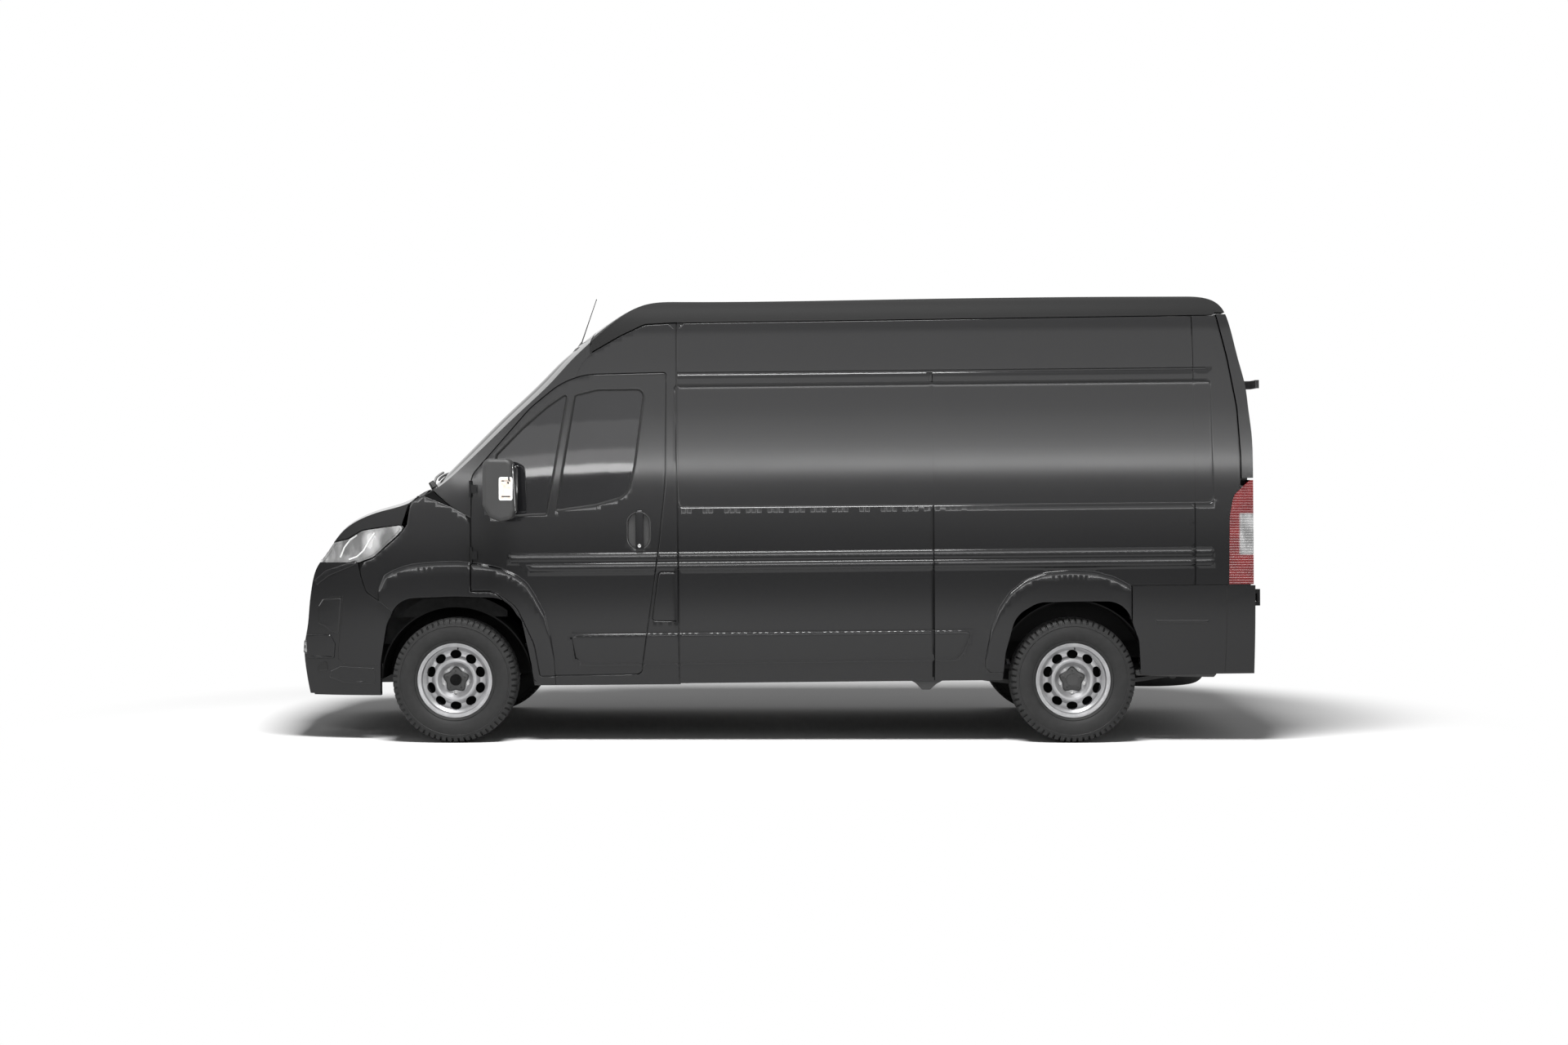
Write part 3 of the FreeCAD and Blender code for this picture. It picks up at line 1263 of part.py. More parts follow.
# Under the floor
RAIL_LOW = "rail_top - rail_height"
RAIL_IN = "rail_half_track - rail_width / 2"
FRONT_RAIL_IN = "front_rail_half_track - rail_width / 2"
LENGTH = "front_overhang + wheel_base + rear_overhang"
# Where the cross-members stand, as shares of the van's length
CROSS_MEMBER_SHARES = (0.2586, 0.3880, 0.5173, 0.6466, 0.7112, 0.9108)
rails = []
for name, side in SIDES:
    rails.append(block(f"rail_{name}", f"{NOSE} + rail_setback",
                       across(side, RAIL_IN, "rail_width"), RAIL_LOW,
                       (f"{LENGTH} - rail_setback - rail_tail_setback", "rail_width",
                        "rail_height")))
    rails.append(block(f"front_rail_{name}", f"{NOSE} + front_rail_setback",
                       across(side, FRONT_RAIL_IN, "rail_width"), RAIL_LOW,
                       ("front_rail_length", "rail_width", "rail_height")))
    pad_in = "front_rail_half_track - jacking_pad_width / 2"
    rails.append(block(f"jacking_pad_{name}", f"{NOSE} + jacking_pad_setback",
                       across(side, pad_in, "jacking_pad_width"),
                       f"{RAIL_LOW} - jacking_pad_drop",
                       ("jacking_pad_length", "jacking_pad_width", "2 * jacking_pad_drop")))
for number, share in enumerate(CROSS_MEMBER_SHARES):
    rails.append(block(f"cross_member_{number}", f"{NOSE} + {share} * ({LENGTH})",
                       "-rail_half_track", RAIL_LOW,
                       ("cross_member_length", "2 * rail_half_track", "cross_member_height")))
SPARE_X = f"{NOSE} + spare_setback"
rails.append(bar("spare_wheel_post", (SPARE_X, "0", "spare_top + fit"), "z",
                 "spare_post_radius", "spare_post_length"))
joined("chassis_rails", rails)


def front_subframe():
    """A beam between the front wheels with an arm out to each kingpin and posts to the rails."""
    low = size("arm_low")
    beam_half = size("front_well_half_width") - size("subframe_gap")
    beam_start = front_axle_x - size("subframe_front")
    shape = box((beam_start, beam_start + size("subframe_length")), (-beam_half, beam_half),
                (low, low + size("subframe_height")))
    reach = size("kingpin_half_track") - size("kingpin_ball_radius") - size("fit")
    rail, half = size("front_rail_half_track"), size("subframe_post_width") / 2
    arm_start = front_axle_x - size("subframe_arm_front")
    post_start = front_axle_x + size("subframe_post_front")
    for name, side in SIDES:
        arm = box((arm_start, arm_start + size("subframe_arm_length")),
                  (side * size("subframe_arm_inner"), side * reach),
                  (low, low + size("arm_height")))
        post = box((post_start, post_start + size("subframe_post_length")),
                   (side * (rail - half), side * (rail + half)),
                   (low + size("subframe_height") / 2, rail_top))
        shape = shape.fuse([arm, post.cut(above_rail_bottom())])
    return one_solid(shape)


piece("front_subframe", front_subframe(), False)

engine_form = block("engine_form", f"{FRONT_AXLE} - engine_front", "-engine_half_width",
                    "tyre_radius - engine_drop",
                    ("engine_length", "2 * engine_half_width", "engine_height"))
ENGINE_GAP_HALF = f"({FRONT_RAIL_IN} - fit)"
engine_mount = block("engine_mount", f"{FRONT_AXLE} - engine_mount_front",
                     f"-{ENGINE_GAP_HALF}", f"{RAIL_LOW} + engine_mount_rise",
                     ("engine_mount_length", f"2 * {ENGINE_GAP_HALF}", "engine_mount_height"))
joined("engine", [engine_form, engine_mount])
tank = [block("tank_form", f"{NOSE} + tank_setback", "-tank_half_width", "tank_bottom",
              ("tank_length", "2 * tank_half_width", f"{RAIL_LOW} - tank_bottom - fit"))]
TANK_GAP_HALF = f"({RAIL_IN} - fit)"
for number in range(2):
    tank.append(block(f"tank_strap_{number}",
                      f"{NOSE} + tank_setback + strap_setback + {number} * strap_spacing",
                      f"-{TANK_GAP_HALF}", f"{RAIL_LOW} - strap_drop",
                      ("strap_width", f"2 * {TANK_GAP_HALF}", "strap_height")))
joined("fuel_tank", tank)
exhaust = [bar("exhaust_pipe", (f"{NOSE} + exhaust_setback", "exhaust_reach", "exhaust_height"),
               "x", "exhaust_pipe_radius", "exhaust_length"),
           bar("exhaust_silencer",
               (f"{NOSE} + silencer_setback", "exhaust_reach", "exhaust_height"),
               "x", "silencer_radius", "silencer_length")]
# Where the exhaust hangs, as shares of its length
HANGER_SHARES = (0.091, 0.318, 0.955)
for number, share in enumerate(HANGER_SHARES):
    exhaust.append(block(f"exhaust_hanger_{number}",
                         f"{NOSE} + exhaust_setback + {share} * exhaust_length",
                         "exhaust_reach", "exhaust_height",
                         ("hanger_thickness", "hanger_width",
                          "floor_top - floor_thickness - fit - exhaust_height")))
joined("exhaust", exhaust)
spare = doc.addObject("Part::Torus", "spare_wheel_form")
spare.setExpression("Radius1", bound("tyre_radius - spare_tube_inset"))
spare.setExpression("Radius2", bound("spare_tube_radius"))
place_rules(spare, SPARE_X, "0", "spare_top - spare_tube_drop")
hub = bar("spare_wheel_hub", (SPARE_X, "0", "spare_top - spare_hub_height"), "z",
          "tyre_radius - spare_hub_inset", "spare_hub_height")
joined("spare_wheel", [spare, hub])


# Floors
def arch_space(x, inner, radius, side):
    """The round space above a wheel, from an inner reach out past the body's side."""
    start = Vector(x, side * inner, size("tyre_radius"))
    return Part.makeCylinder(radius, beyond - inner, start, Vector(0, side, 0))


def liner(x, inner, side, low):
    wall = size("arch_liner_wall")
    radius = size("arch_liner_radius")
    shell = arch_space(x, inner, radius + wall, side)
    shell = shell.cut(arch_space(x, inner + wall, radius, side))
    return shell.cut(across_van((x - 2 * radius, x + 2 * radius), (0, low)))


inside = body_mass(size("wall_thickness") + size("fit"))
clear_inside = body_mass(size("wall_thickness") + size("inside_clearance"))
CAB_FLOOR_SHARES = (0.400, 0.900)
LOAD_FLOOR_SHARES = (0.925, 2.112)
STEP_SHARES = (0.600, 0.800)


def floor():
    """The flat floor with its rear wheel boxes, the steps inside the cab doors and a firewall."""
    top, thickness = size("floor_top"), size("floor_thickness")
    low, raised = top - thickness, top + size("load_floor_rise")
    cab_start, cab_end = (along(share) for share in CAB_FLOOR_SHARES)
    load = [along(share) for share in LOAD_FLOOR_SHARES]
    shape = across_van((cab_end, load[1]), (low, top)).common(inside)
    shape = shape.fuse(across_van((cab_start, cab_end), (low, top)).common(clear_inside))
    shape = shape.fuse(across_van(load, (low, raised)).common(clear_inside))
    inner, gap = size("rear_well_half_width"), size("arch_liner_gap")
    radius, wall = size("arch_liner_radius"), size("arch_liner_wall")
    well_half = size("front_well_half_width")
    start, end = (along(share) for share in STEP_SHARES)
    for name, side in SIDES:
        rim = arch_space(rear_axle_x, inner - gap, radius + wall + gap, side)
        shape = shape.cut(rim.cut(across_van((rear_axle_x - 2 * radius, rear_axle_x + 2 * radius),
                                             (0, top))))
        shape = shape.cut(arch_space(rear_axle_x, inner, radius, side))
        shape = shape.fuse(liner(rear_axle_x, inner, side, low).common(inside))
        shape = shape.cut(arch_space(front_axle_x, well_half - size("front_well_margin"),
                                     radius + wall + gap, side))
        outer = side * beyond
        well = box((start, end), (side * size("step_inner"), outer), (size("step_low"), height))
        pan = box((start - thickness, end + thickness),
                  (side * (size("step_inner") - thickness), outer),
                  (size("step_low") - thickness, top))
        shape = shape.cut(well).fuse(pan.cut(well).common(clear_inside))
    half = well_half - size("firewall_gap")
    firewall = box((cab_start - thickness, cab_start), (-half, half),
                   (low, size("dash_low") - size("fit")))
    return one_solid(shape.fuse(firewall))


piece("floor", floor())


def liner_lip(side):
    """A thin lip behind the wing, from the liner out past the arch's edge."""
    inset = size("wing_thickness") + size("fit")
    region = side_region(WING_SHARES, along, -size("panel_gap"), side, LAMP_FROM_SHARE)
    inner = size("liner_lip_inner")
    ring = arch_space(front_axle_x, inner, size("liner_lip_radius"), side)
    ring = ring.cut(arch_space(front_axle_x, inner, size("arch_liner_radius"), side))
    return panel(region, inset, inset + size("arch_liner_wall")).common(ring)


def wheel_liner(side):
    outer = body_mass(size("wing_thickness") + size("fit"))
    low = size("tyre_radius") + size("liner_bottom_rise")
    shell = liner(front_axle_x, size("front_well_half_width"), side, low).common(outer)
    pillar = through_prism(CAB_SIDE_SHARES, along, size("cab_seam")).cut(inside)
    return one_solid(shell.fuse(liner_lip(side)).cut(pillar))


piece("wheel_liners", Part.makeCompound([wheel_liner(side) for name, side in SIDES]))

# Inside the cab
BULKHEAD_SHARE = 0.905
DASH_SHARES = (0.337, 0.46)
SEAT_SHARE = 0.60
STEERING_SHARE = 0.515


def bulkhead():
    x = along(BULKHEAD_SHARE)
    slab = across_van((x, x + size("bulkhead_thickness")),
                      (size("floor_top") + size("fit"), up(ABOVE_ROOF_SHARE)))
    return one_solid(slab.common(inside))


piece("bulkhead", bulkhead())


def seat(reach, width):
    """A seat's base, cushion, back and headrest, from its left edge across."""
    x, left = along(SEAT_SHARE), -reach
    right, middle = left + width, left + width / 2
    inset = size("seat_base_inset")
    low = size("cushion_low")
    top = low + size("cushion_thickness")
    back_x = x + size("backrest_setback")
    back_end = back_x + size("backrest_thickness")
    back_top = top + size("backrest_height")
    half = size("headrest_width") / 2
    base = box((x + inset, x + inset + size("seat_base_length")), (left + inset, right - inset),
               (size("floor_top") + size("fit"), low))
    cushion = box((x, x + size("seat_length")), (left, right), (low, top))
    back = box((back_x, back_end), (left, right), (top, back_top))
    head = box((back_end - size("headrest_thickness"), back_end), (middle - half, middle + half),
               (back_top, back_top + size("headrest_height")))
    return one_solid(base.fuse([cushion, back, head]))


piece("seats", Part.makeCompound([seat(size("driver_seat_reach"), size("driver_seat_width")),
                                  seat(size("bench_reach"), size("bench_width"))]))
dash_start, dash_end = (along(share) for share in DASH_SHARES)
dash_box = across_van((dash_start, dash_end), (size("dash_low"), size("dash_high")))
piece("dashboard", one_solid(dash_box.common(clear_inside)))


def steering_wheel():
    ring = Part.makeTorus(size("steering_ring_radius"), size("steering_tube_radius"))
    rise, column = size("steering_boss_height"), size("steering_column_length")
    boss = Part.makeCylinder(size("steering_boss_radius"), rise, Vector(0, 0, -rise / 2))
    half, wide = size("steering_ring_radius"), size("steering_spoke_width") / 2
    deep = size("steering_spoke_thickness") / 2
    spokes = box((-half, half), (-wide, wide), (-deep, deep))
    tube = Part.makeCylinder(size("steering_column_radius"), column, Vector(0, 0, -column))
    form = ring.fuse([boss, spokes, tube])
    tilt = FreeCAD.Rotation(Vector(0, 1, 0), size("steering_tilt"))
    centre = Vector(along(STEERING_SHARE), -size("steering_reach"), size("steering_height"))
    form = form.transformed(FreeCAD.Placement(centre, tilt).toMatrix(), True)
    taken = across_van((dash_start, dash_end + size("fit")),
                       (size("dash_low") - size("dash_cut_depth"), size("dash_high")))
    return one_solid(form.cut(taken))


piece("steering_wheel", steering_wheel())

MIRROR_SHARES = [
    (0.4564, 0.6396, 0.016), (0.4552, 0.5352, 0.020), (0.4692, 0.5116, 0.012),
    (0.4944, 0.5008, 0.012), (0.5196, 0.5076, 0.012), (0.5268, 0.5256, 0.010),
    (0.5208, 0.6388, 0.016),
]
MIRROR_ARM_SHARES = (0.455, 0.490)
MIRROR_ARM_LOW_SHARE = 0.516


def mirror(side):
    """A rounded head out on an arm from the door's corner."""
    inner, low = size("mirror_inner"), up(MIRROR_ARM_LOW_SHARE)
    outer = inner + size("mirror_reach")
    face = face_of(side_points(MIRROR_SHARES))
    face.translate(Vector(0, inner, 0))
    head = face.extrude(Vector(0, outer - inner, 0))
    rims = [edge for edge in head.Edges if edge.BoundBox.YLength < size("weld")]
    head = head.makeFillet(size("mirror_round"), rims)
    arm = box([along(share) for share in MIRROR_ARM_SHARES],
              (size("mirror_arm_inner"), size("mirror_arm_outer")),
              (low, low + size("mirror_arm_height")))
    shape = one_solid(arm.fuse(head))
    return mirrored(shape) if side < 0 else shape


for name, side in SIDES:
    piece(f"mirror_{name}", mirror(side).cut(body_mass(0.0)))


def check_and_export():
    doc.recompute()
    for item in doc.Objects:
        if {"Invalid", "Error"} & set(item.State):
            raise RuntimeError(f"{item.Name} did not build: {item.State}")
    os.makedirs("parts", exist_ok=True)
    for item in made:
        shape = item.Shape
        if shape.isNull() or not shape.isValid():
            raise RuntimeError(f"{item.Label} has no valid shape")
        shape.exportStep(f"parts/{item.Label}.step")
        bounds = shape.optimalBoundingBox(False)
        print(f"{item.Label}: {len(shape.Solids)} solids, {shape.Volume / 1e6:.2f} litres,"
              f" x {bounds.XMin:.0f}..{bounds.XMax:.0f} y {bounds.YMin:.0f}..{bounds.YMax:.0f}"
              f" z {bounds.ZMin:.0f}..{bounds.ZMax:.0f}")


check_and_export()
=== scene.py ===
import json
import math

import bmesh
import bpy
import mathutils.geometry
import numpy as np
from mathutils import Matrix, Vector


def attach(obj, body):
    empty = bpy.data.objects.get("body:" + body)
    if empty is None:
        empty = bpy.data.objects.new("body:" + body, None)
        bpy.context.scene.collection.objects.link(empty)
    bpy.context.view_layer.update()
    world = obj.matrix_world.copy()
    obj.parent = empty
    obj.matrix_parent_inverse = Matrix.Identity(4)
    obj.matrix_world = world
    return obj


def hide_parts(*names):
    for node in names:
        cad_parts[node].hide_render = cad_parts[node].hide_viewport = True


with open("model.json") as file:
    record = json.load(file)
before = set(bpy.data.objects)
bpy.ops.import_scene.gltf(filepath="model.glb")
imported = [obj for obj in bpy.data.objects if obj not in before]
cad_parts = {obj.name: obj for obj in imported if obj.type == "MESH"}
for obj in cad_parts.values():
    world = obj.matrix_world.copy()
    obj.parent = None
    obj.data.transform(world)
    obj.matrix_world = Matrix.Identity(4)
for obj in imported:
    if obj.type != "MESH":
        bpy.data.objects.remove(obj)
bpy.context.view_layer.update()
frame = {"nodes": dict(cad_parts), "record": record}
NODES = frame["nodes"]
scene = bpy.context.scene


# Shader helpers
def new_material(name):
    material = bpy.data.materials.new(name)
    material.use_nodes = True
    tree = material.node_tree
    return material, tree, tree.nodes["Principled BSDF"]


def set_inputs(node, inputs):
    """Gives sockets their constants, or links them to other nodes' outputs."""
    for key, value in inputs.items():
        if isinstance(value, bpy.types.NodeSocket):
            node.id_data.links.new(value, node.inputs[key])
        else:
            node.inputs[key].default_value = value


def add_node(tree, kind, inputs=None, **settings):
    node = tree.nodes.new("ShaderNode" + kind)
    for key, value in settings.items():
        setattr(node, key, value)
    set_inputs(node, inputs or {})
    return node


def coordinates(tree, kind="Object"):
    return add_node(tree, "TexCoord").outputs[kind]


def axes(tree, kind="Object"):
    return add_node(tree, "SeparateXYZ", {0: coordinates(tree, kind)}).outputs


def noise(tree, scale, detail=3.0, stretch=(1.0, 1.0, 1.0)):
    """Noise over the object's own space, in metres."""
    spread = add_node(tree, "Mapping", {"Vector": coordinates(tree), "Scale": stretch})
    inputs = {"Vector": spread.outputs["Vector"], "Scale": scale, "Detail": detail}
    return add_node(tree, "TexNoise", inputs).outputs["Fac"]


def ramp(tree, value, low, high, low_color, high_color):
    node = add_node(tree, "ValToRGB", {"Fac": value})
    first, last = node.color_ramp.elements
    first.position, last.position = low, high
    first.color, last.color = low_color, high_color
    return node.outputs["Color"]


def remap(tree, value, low, high, start=0.0, end=1.0, easing="LINEAR"):
    """Carries a value from the range start to end over to the range low to high."""
    inputs = {"Value": value, "From Min": start, "From Max": end, "To Min": low, "To Max": high}
    return add_node(tree, "MapRange", inputs, interpolation_type=easing).outputs["Result"]


def calculate(tree, operation, *values, **settings):
    node = add_node(tree, "Math", dict(enumerate(values)), operation=operation, **settings)
    return node.outputs["Value"]


def blend(tree, share, one, other):
    mix = add_node(tree, "Mix", {"Factor": share, "A": one, "B": other}, data_type="RGBA")
    return mix.outputs["Result"]


def bump(tree, shader, height, strength, distance):
    node = add_node(tree, "Bump", {"Strength": strength, "Distance": distance, "Height": height})
    set_inputs(shader, {"Normal": node.outputs["Normal"]})


def fluted(tree, shader, axis, scale, strength, distance):
    """Fine parallel ribs along an axis."""
    wave = add_node(tree, "TexWave", {"Scale": scale, "Vector": coordinates(tree)},
                    bands_direction=axis)
    bump(tree, shader, wave.outputs["Fac"], strength, distance)


def grey(level, blue=1.0):
    return (level, level, level * blue, 1.0)


def tone(level):
    return level if isinstance(level, tuple) else grey(level)


def varied(name, dark, light, rough, scale, metallic=0.0, grain=None, specular=0.5, blue=1.0):
    """A finish whose colour and roughness drift a little, with a fine grain if it has one."""
    material, tree, shader = new_material(name)
    drift = noise(tree, scale)
    dark, light = (grey(t, blue) if blue != 1.0 else tone(t) for t in (dark, light))
    set_inputs(shader, {
        "Base Color": ramp(tree, drift, 0.3, 0.7, dark, light),
        "Roughness": remap(tree, drift, *rough), "Metallic": metallic,
        "Specular IOR Level": specular})
    if grain:
        bump(tree, shader, noise(tree, grain[0], 2.0), 0.5, grain[1])
    return material


# Finishes
def flakes(tree):
    return ramp(tree, noise(tree, 2600.0, 1.0), 0.35, 0.75, grey(0.0085, 1.04),
                grey(0.0150, 1.04))


def paint_finish():
    """Dark graphite paint with fine flakes and a faint ripple."""
    material, tree, shader = new_material("graphite_paint")
    set_inputs(shader, {
        "Base Color": flakes(tree), "Roughness": remap(tree, noise(tree, 1.3), 0.10, 0.13),
        "Specular IOR Level": 0.30})
    bump(tree, shader, noise(tree, 420.0, 2.0), 0.05, 0.0001)
    return material


# Where the painted dark reflection along the roof's edges begins across the van, and how wide it
# blends in
DARK_REFLECTION_FROM = 0.80
DARK_REFLECTION_BLEND = 0.004


def roof_finish():
    """The body's paint, with a dull black band along both edges that is a painted dark reflection.
    """
    material, tree, shader = new_material("roof_paint")
    across = calculate(tree, "ABSOLUTE", axes(tree)["Y"])
    # Black band along both edges: painted dark reflection
    edge = remap(tree, across, 0.0, 1.0, DARK_REFLECTION_FROM, DARK_REFLECTION_FROM + DARK_REFLECTION_BLEND)
    set_inputs(shader, {
        "Base Color": blend(tree, edge, flakes(tree), grey(0.002)),
        "Roughness": remap(tree, edge, 0.13, 0.75), "Specular IOR Level": 0.25})
    return material


def floor_finish():
    """A grey mat on the load floor's upward faces and near black on all the others: body paint in
    the load space, painted shade where they show inside the wheel arches.
    """
    material, tree, shader = new_material("floor_mat")
    # Faces that don't point up are near black: partly body paint, partly painted shade inside the
    # wheel arches
    upward = remap(tree, axes(tree, "Normal")["Z"], 0.0, 1.0, 0.90, 0.95)
    mat = ramp(tree, noise(tree, 5.0), 0.3, 0.7, grey(0.10), grey(0.14))
    set_inputs(shader, {
        "Base Color": blend(tree, upward, grey(0.005), mat),
        "Roughness": remap(tree, noise(tree, 5.0), 0.60, 0.75), "Specular IOR Level": 0.08})
    return material


def smooth_finish(name, scale, dark, light, **constants):
    """A smooth finish whose colour drifts a little and whose other inputs are constants."""
    material, tree, shader = new_material(name)
    shade = ramp(tree, noise(tree, scale), 0.3, 0.7, dark, light)
    set_inputs(shader, {"Base Color": shade})
    set_inputs(shader, {key.replace("_", " "): value for key, value in constants.items()})
    return material


CLEAR_START = 2.584
CLEAR_LOW, CLEAR_HIGH = 1.044, 1.290
CLEAR_BLEND = 0.016


def tail_lamp_finish():
    """Red lens with a clear section in its middle, ribbed within."""
    material, tree, shader = new_material("tail_lamp")
    place = axes(tree)

    def step_up(axis, start, end):
        return remap(tree, place[axis], 0.0, 1.0, start, end, "SMOOTHSTEP")

    clear = calculate(tree, "MULTIPLY", step_up("X", CLEAR_START, CLEAR_START + CLEAR_BLEND),
                      step_up("Z", CLEAR_LOW, CLEAR_LOW + CLEAR_BLEND))
    clear = calculate(tree, "MULTIPLY", clear, step_up("Z", CLEAR_HIGH, CLEAR_HIGH - CLEAR_BLEND))
    red = ramp(tree, noise(tree, 16.0), 0.3, 0.7, (0.085, 0.003, 0.004, 1),
               (0.15, 0.005, 0.006, 1))
    pale = ramp(tree, noise(tree, 30.0, stretch=(1.0, 1.0, 0.3)), 0.35, 0.65, grey(0.14),
                grey(0.30))
    set_inputs(shader, {
        "Base Color": blend(tree, clear, red, pale),
        "Roughness": remap(tree, noise(tree, 9.0), 0.08, 0.14)})
    fluted(tree, shader, "Z", 22.0, 0.25, 0.002)
    return material


def lamp_shell_finish():
    """Silvered plastic with fine upright flutes, darker in patches."""
    material, tree, shader = new_material("lamp_shell")
    patches = noise(tree, 9.0, stretch=(1.0, 0.4, 0.5))
    set_inputs(shader, {
        "Base Color": ramp(tree, patches, 0.38, 0.62, grey(0.06), grey(0.55)),
        "Metallic": 0.55, "Roughness": remap(tree, patches, 0.18, 0.34)})
    fluted(tree, shader, "Y", 28.0, 0.4, 0.004)
    return material


# Dark and light tone, lowest and highest roughness, the drift's scale and what else differs
VARIED = {
    "lamp_dark": (0.010, 0.016, (0.20, 0.30), 40.0, {}),
    "light_guide": (0.80, 0.88, (0.12, 0.20), 60.0, {}),
    "projector_glass": (0.22, 0.34, (0.03, 0.06), 25.0, {"metallic": 0.4}),
    "indicator_lens": ((0.62, 0.50, 0.42, 1), (0.80, 0.74, 0.68, 1), (0.10, 0.16), 70.0, {}),
    "stop_red": ((0.10, 0.004, 0.005, 1), (0.16, 0.006, 0.008, 1), (0.08, 0.14), 40.0, {}),
    "trim_gloss": (0.012, 0.018, (0.24, 0.34), 20.0, {}),
    "seal_rubber": (0.006, 0.010, (0.50, 0.62), 60.0, {"grain": (1200, 1e-4), "specular": 0.3}),
    "cap_black": (0.008, 0.014, (0.38, 0.48), 40.0, {"grain": (900, 1e-4)}),
    "dull_steel": (0.28, 0.42, (0.32, 0.44), 80.0, {"metallic": 0.8, "grain": (600, 1e-4)}),
    "wheel_shade": (0.004, 0.007, (0.75, 0.85), 30.0, {"specular": 0.05}),
    "mirror_glass": (0.70, 0.76, (0.02, 0.04), 3.0, {"metallic": 1.0}),
    "plate_blank": (0.70, 0.76, (0.35, 0.45), 12.0, {"grain": (500, 1e-4)}),
    "black_plastic": (0.016, 0.024, (0.50, 0.62), 6.0, {"grain": (1400, 2e-4)}),
    "tyre_rubber": (0.007, 0.013, (0.55, 0.72), 26.0, {"grain": (900, 3e-4), "specular": 0.30}),
    "wheel_silver": (0.24, 0.32, (0.34, 0.44), 18.0,
                     {"metallic": 0.6, "grain": (700, 1e-4), "blue": 1.02}),
    "chassis_black": (0.012, 0.022, (0.45, 0.65), 9.0, {"grain": (300, 4e-4)}),
    "engine_iron": (0.05, 0.09, (0.55, 0.75), 14.0, {"metallic": 0.6, "grain": (220, 6e-4)}),
    "exhaust_steel": ((0.10, 0.085, 0.07, 1), (0.20, 0.19, 0.18, 1), (0.40, 0.65), 11.0,
                      {"metallic": 0.8, "grain": (260, 3e-4)}),
    "load_floor": (0.10, 0.14, (0.50, 0.65), 5.0, {"grain": (120, 6e-4)}),
    "seat_cloth": (0.03, 0.05, (0.85, 0.95), 30.0, {"grain": (1500, 5e-4)}),
}
FINISHES = {name: varied(name, *row[:-1], **row[-1]) for name, row in VARIED.items()}
FINISHES.update({
    "body_paint": paint_finish(),
    "glass": smooth_finish("tinted_glass", 2.0, grey(0.006, 1.1), grey(0.010, 1.1),
                           Roughness=0.04, Specular_IOR_Level=0.35, Alpha=0.95),
    "screen_glass": smooth_finish("screen_glass", 2.0, grey(0.030, 1.1), grey(0.040, 1.1),
                                  Metallic=1.0, Roughness=0.05, Specular_Tint=grey(0.10)),
    "lamp_clear": smooth_finish("headlamp_lens", 6.0, grey(0.50), grey(0.60), Roughness=0.03,
                                Alpha=0.16),
    "lamp_red": tail_lamp_finish(),
    "lamp_shell": lamp_shell_finish(),
    "roof_paint": roof_finish(),
    "floor_mat": floor_finish(),
})
FINISH_OF = {part["node"]: part["material_slot"] for part in frame["record"]["subparts"]}
FINISH_OF.update({"roof_panel": "roof_paint", "windscreen": "screen_glass",
                  "floor": "floor_mat"})
# Parts seen inside the wheel arches and under the body take the near-black wheel_shade finish:
# painted shade
FINISH_OF.update({node: "wheel_shade" for node in (
    "wheel_liners", "chassis_rails", "front_subframe", "knuckle_left", "knuckle_right",
    "wing_left", "wing_right")})
for node, obj in NODES.items():
    obj.data.materials.clear()
    obj.data.materials.append(FINISHES[FINISH_OF[node]])
SIDES = (("left", -1), ("right", 1))


# The body's side surface, from the same outline shares as the part's source
BODY_HEIGHT = 2.5
BODY_LENGTH = 5.413
HINGE_PROJECTION = 0.036
NOSE_X = -(BODY_LENGTH + HINGE_PROJECTION) / 2
FRONT_OVERHANG = 0.948
WHEELBASE = 3.45
FRONT_AXLE_X = NOSE_X + FRONT_OVERHANG
REAR_AXLE_X = FRONT_AXLE_X + WHEELBASE
STANCE_ANGLE = math.radians(0.57)
STANCE_X, STANCE_Z = (FRONT_AXLE_X + REAR_AXLE_X) / 2, 0.6
WHEEL_REACH = 0.905
WHEEL_HEIGHT = 0.348
SECTION_SHARES = [
    (0.040, 0.368), (0.120, 0.384), (0.192, 0.400), (0.280, 0.409), (0.400, 0.410),
    (0.520, 0.410), (0.600, 0.408), (0.680, 0.403), (0.760, 0.397), (0.860, 0.386),
    (0.940, 0.375), (0.970, 0.362), (0.987, 0.340), (0.997, 0.308), (1.016, 0.290),
    (1.048, 0.280),
]
TAPER_SHARES = [
    (-0.120, 0.144), (-0.040, 0.116), (0.024, 0.086), (0.080, 0.060), (0.160, 0.040),
    (0.260, 0.027), (0.380, 0.018), (0.520, 0.009), (0.680, 0.002), (0.860, 0.000),
    (1.080, 0.000), (1.800, 0.000), (2.280, 0.000),
]
LEAN_SHARE = 0.9
LEAN_FROM_SHARE = 0.48


def spline_weights(count, samples):
    """Weights of a clamped cubic B-spline's poles at even steps along it."""
    spans = count - 3
    knots = [0.0] * 3 + [float(i) for i in range(spans + 1)] + [float(spans)] * 3
    at = np.linspace(0, spans - 1e-9, samples)
    rows = np.zeros((samples, len(knots) - 1))
    for i in range(len(knots) - 1):
        rows[:, i] = (at >= knots[i]) & (at < knots[i + 1])
    for degree in range(1, 4):
        for i in range(len(knots) - 1 - degree):
            left = knots[i + degree] - knots[i]
            right = knots[i + degree + 1] - knots[i + 1]
            value = 0
            if left:
                value = value + (at - knots[i]) / left * rows[:, i]
            if right:
                value = value + (knots[i + degree + 1] - at) / right * rows[:, i + 1]
            rows[:, i] = value
    return rows[:, :count]


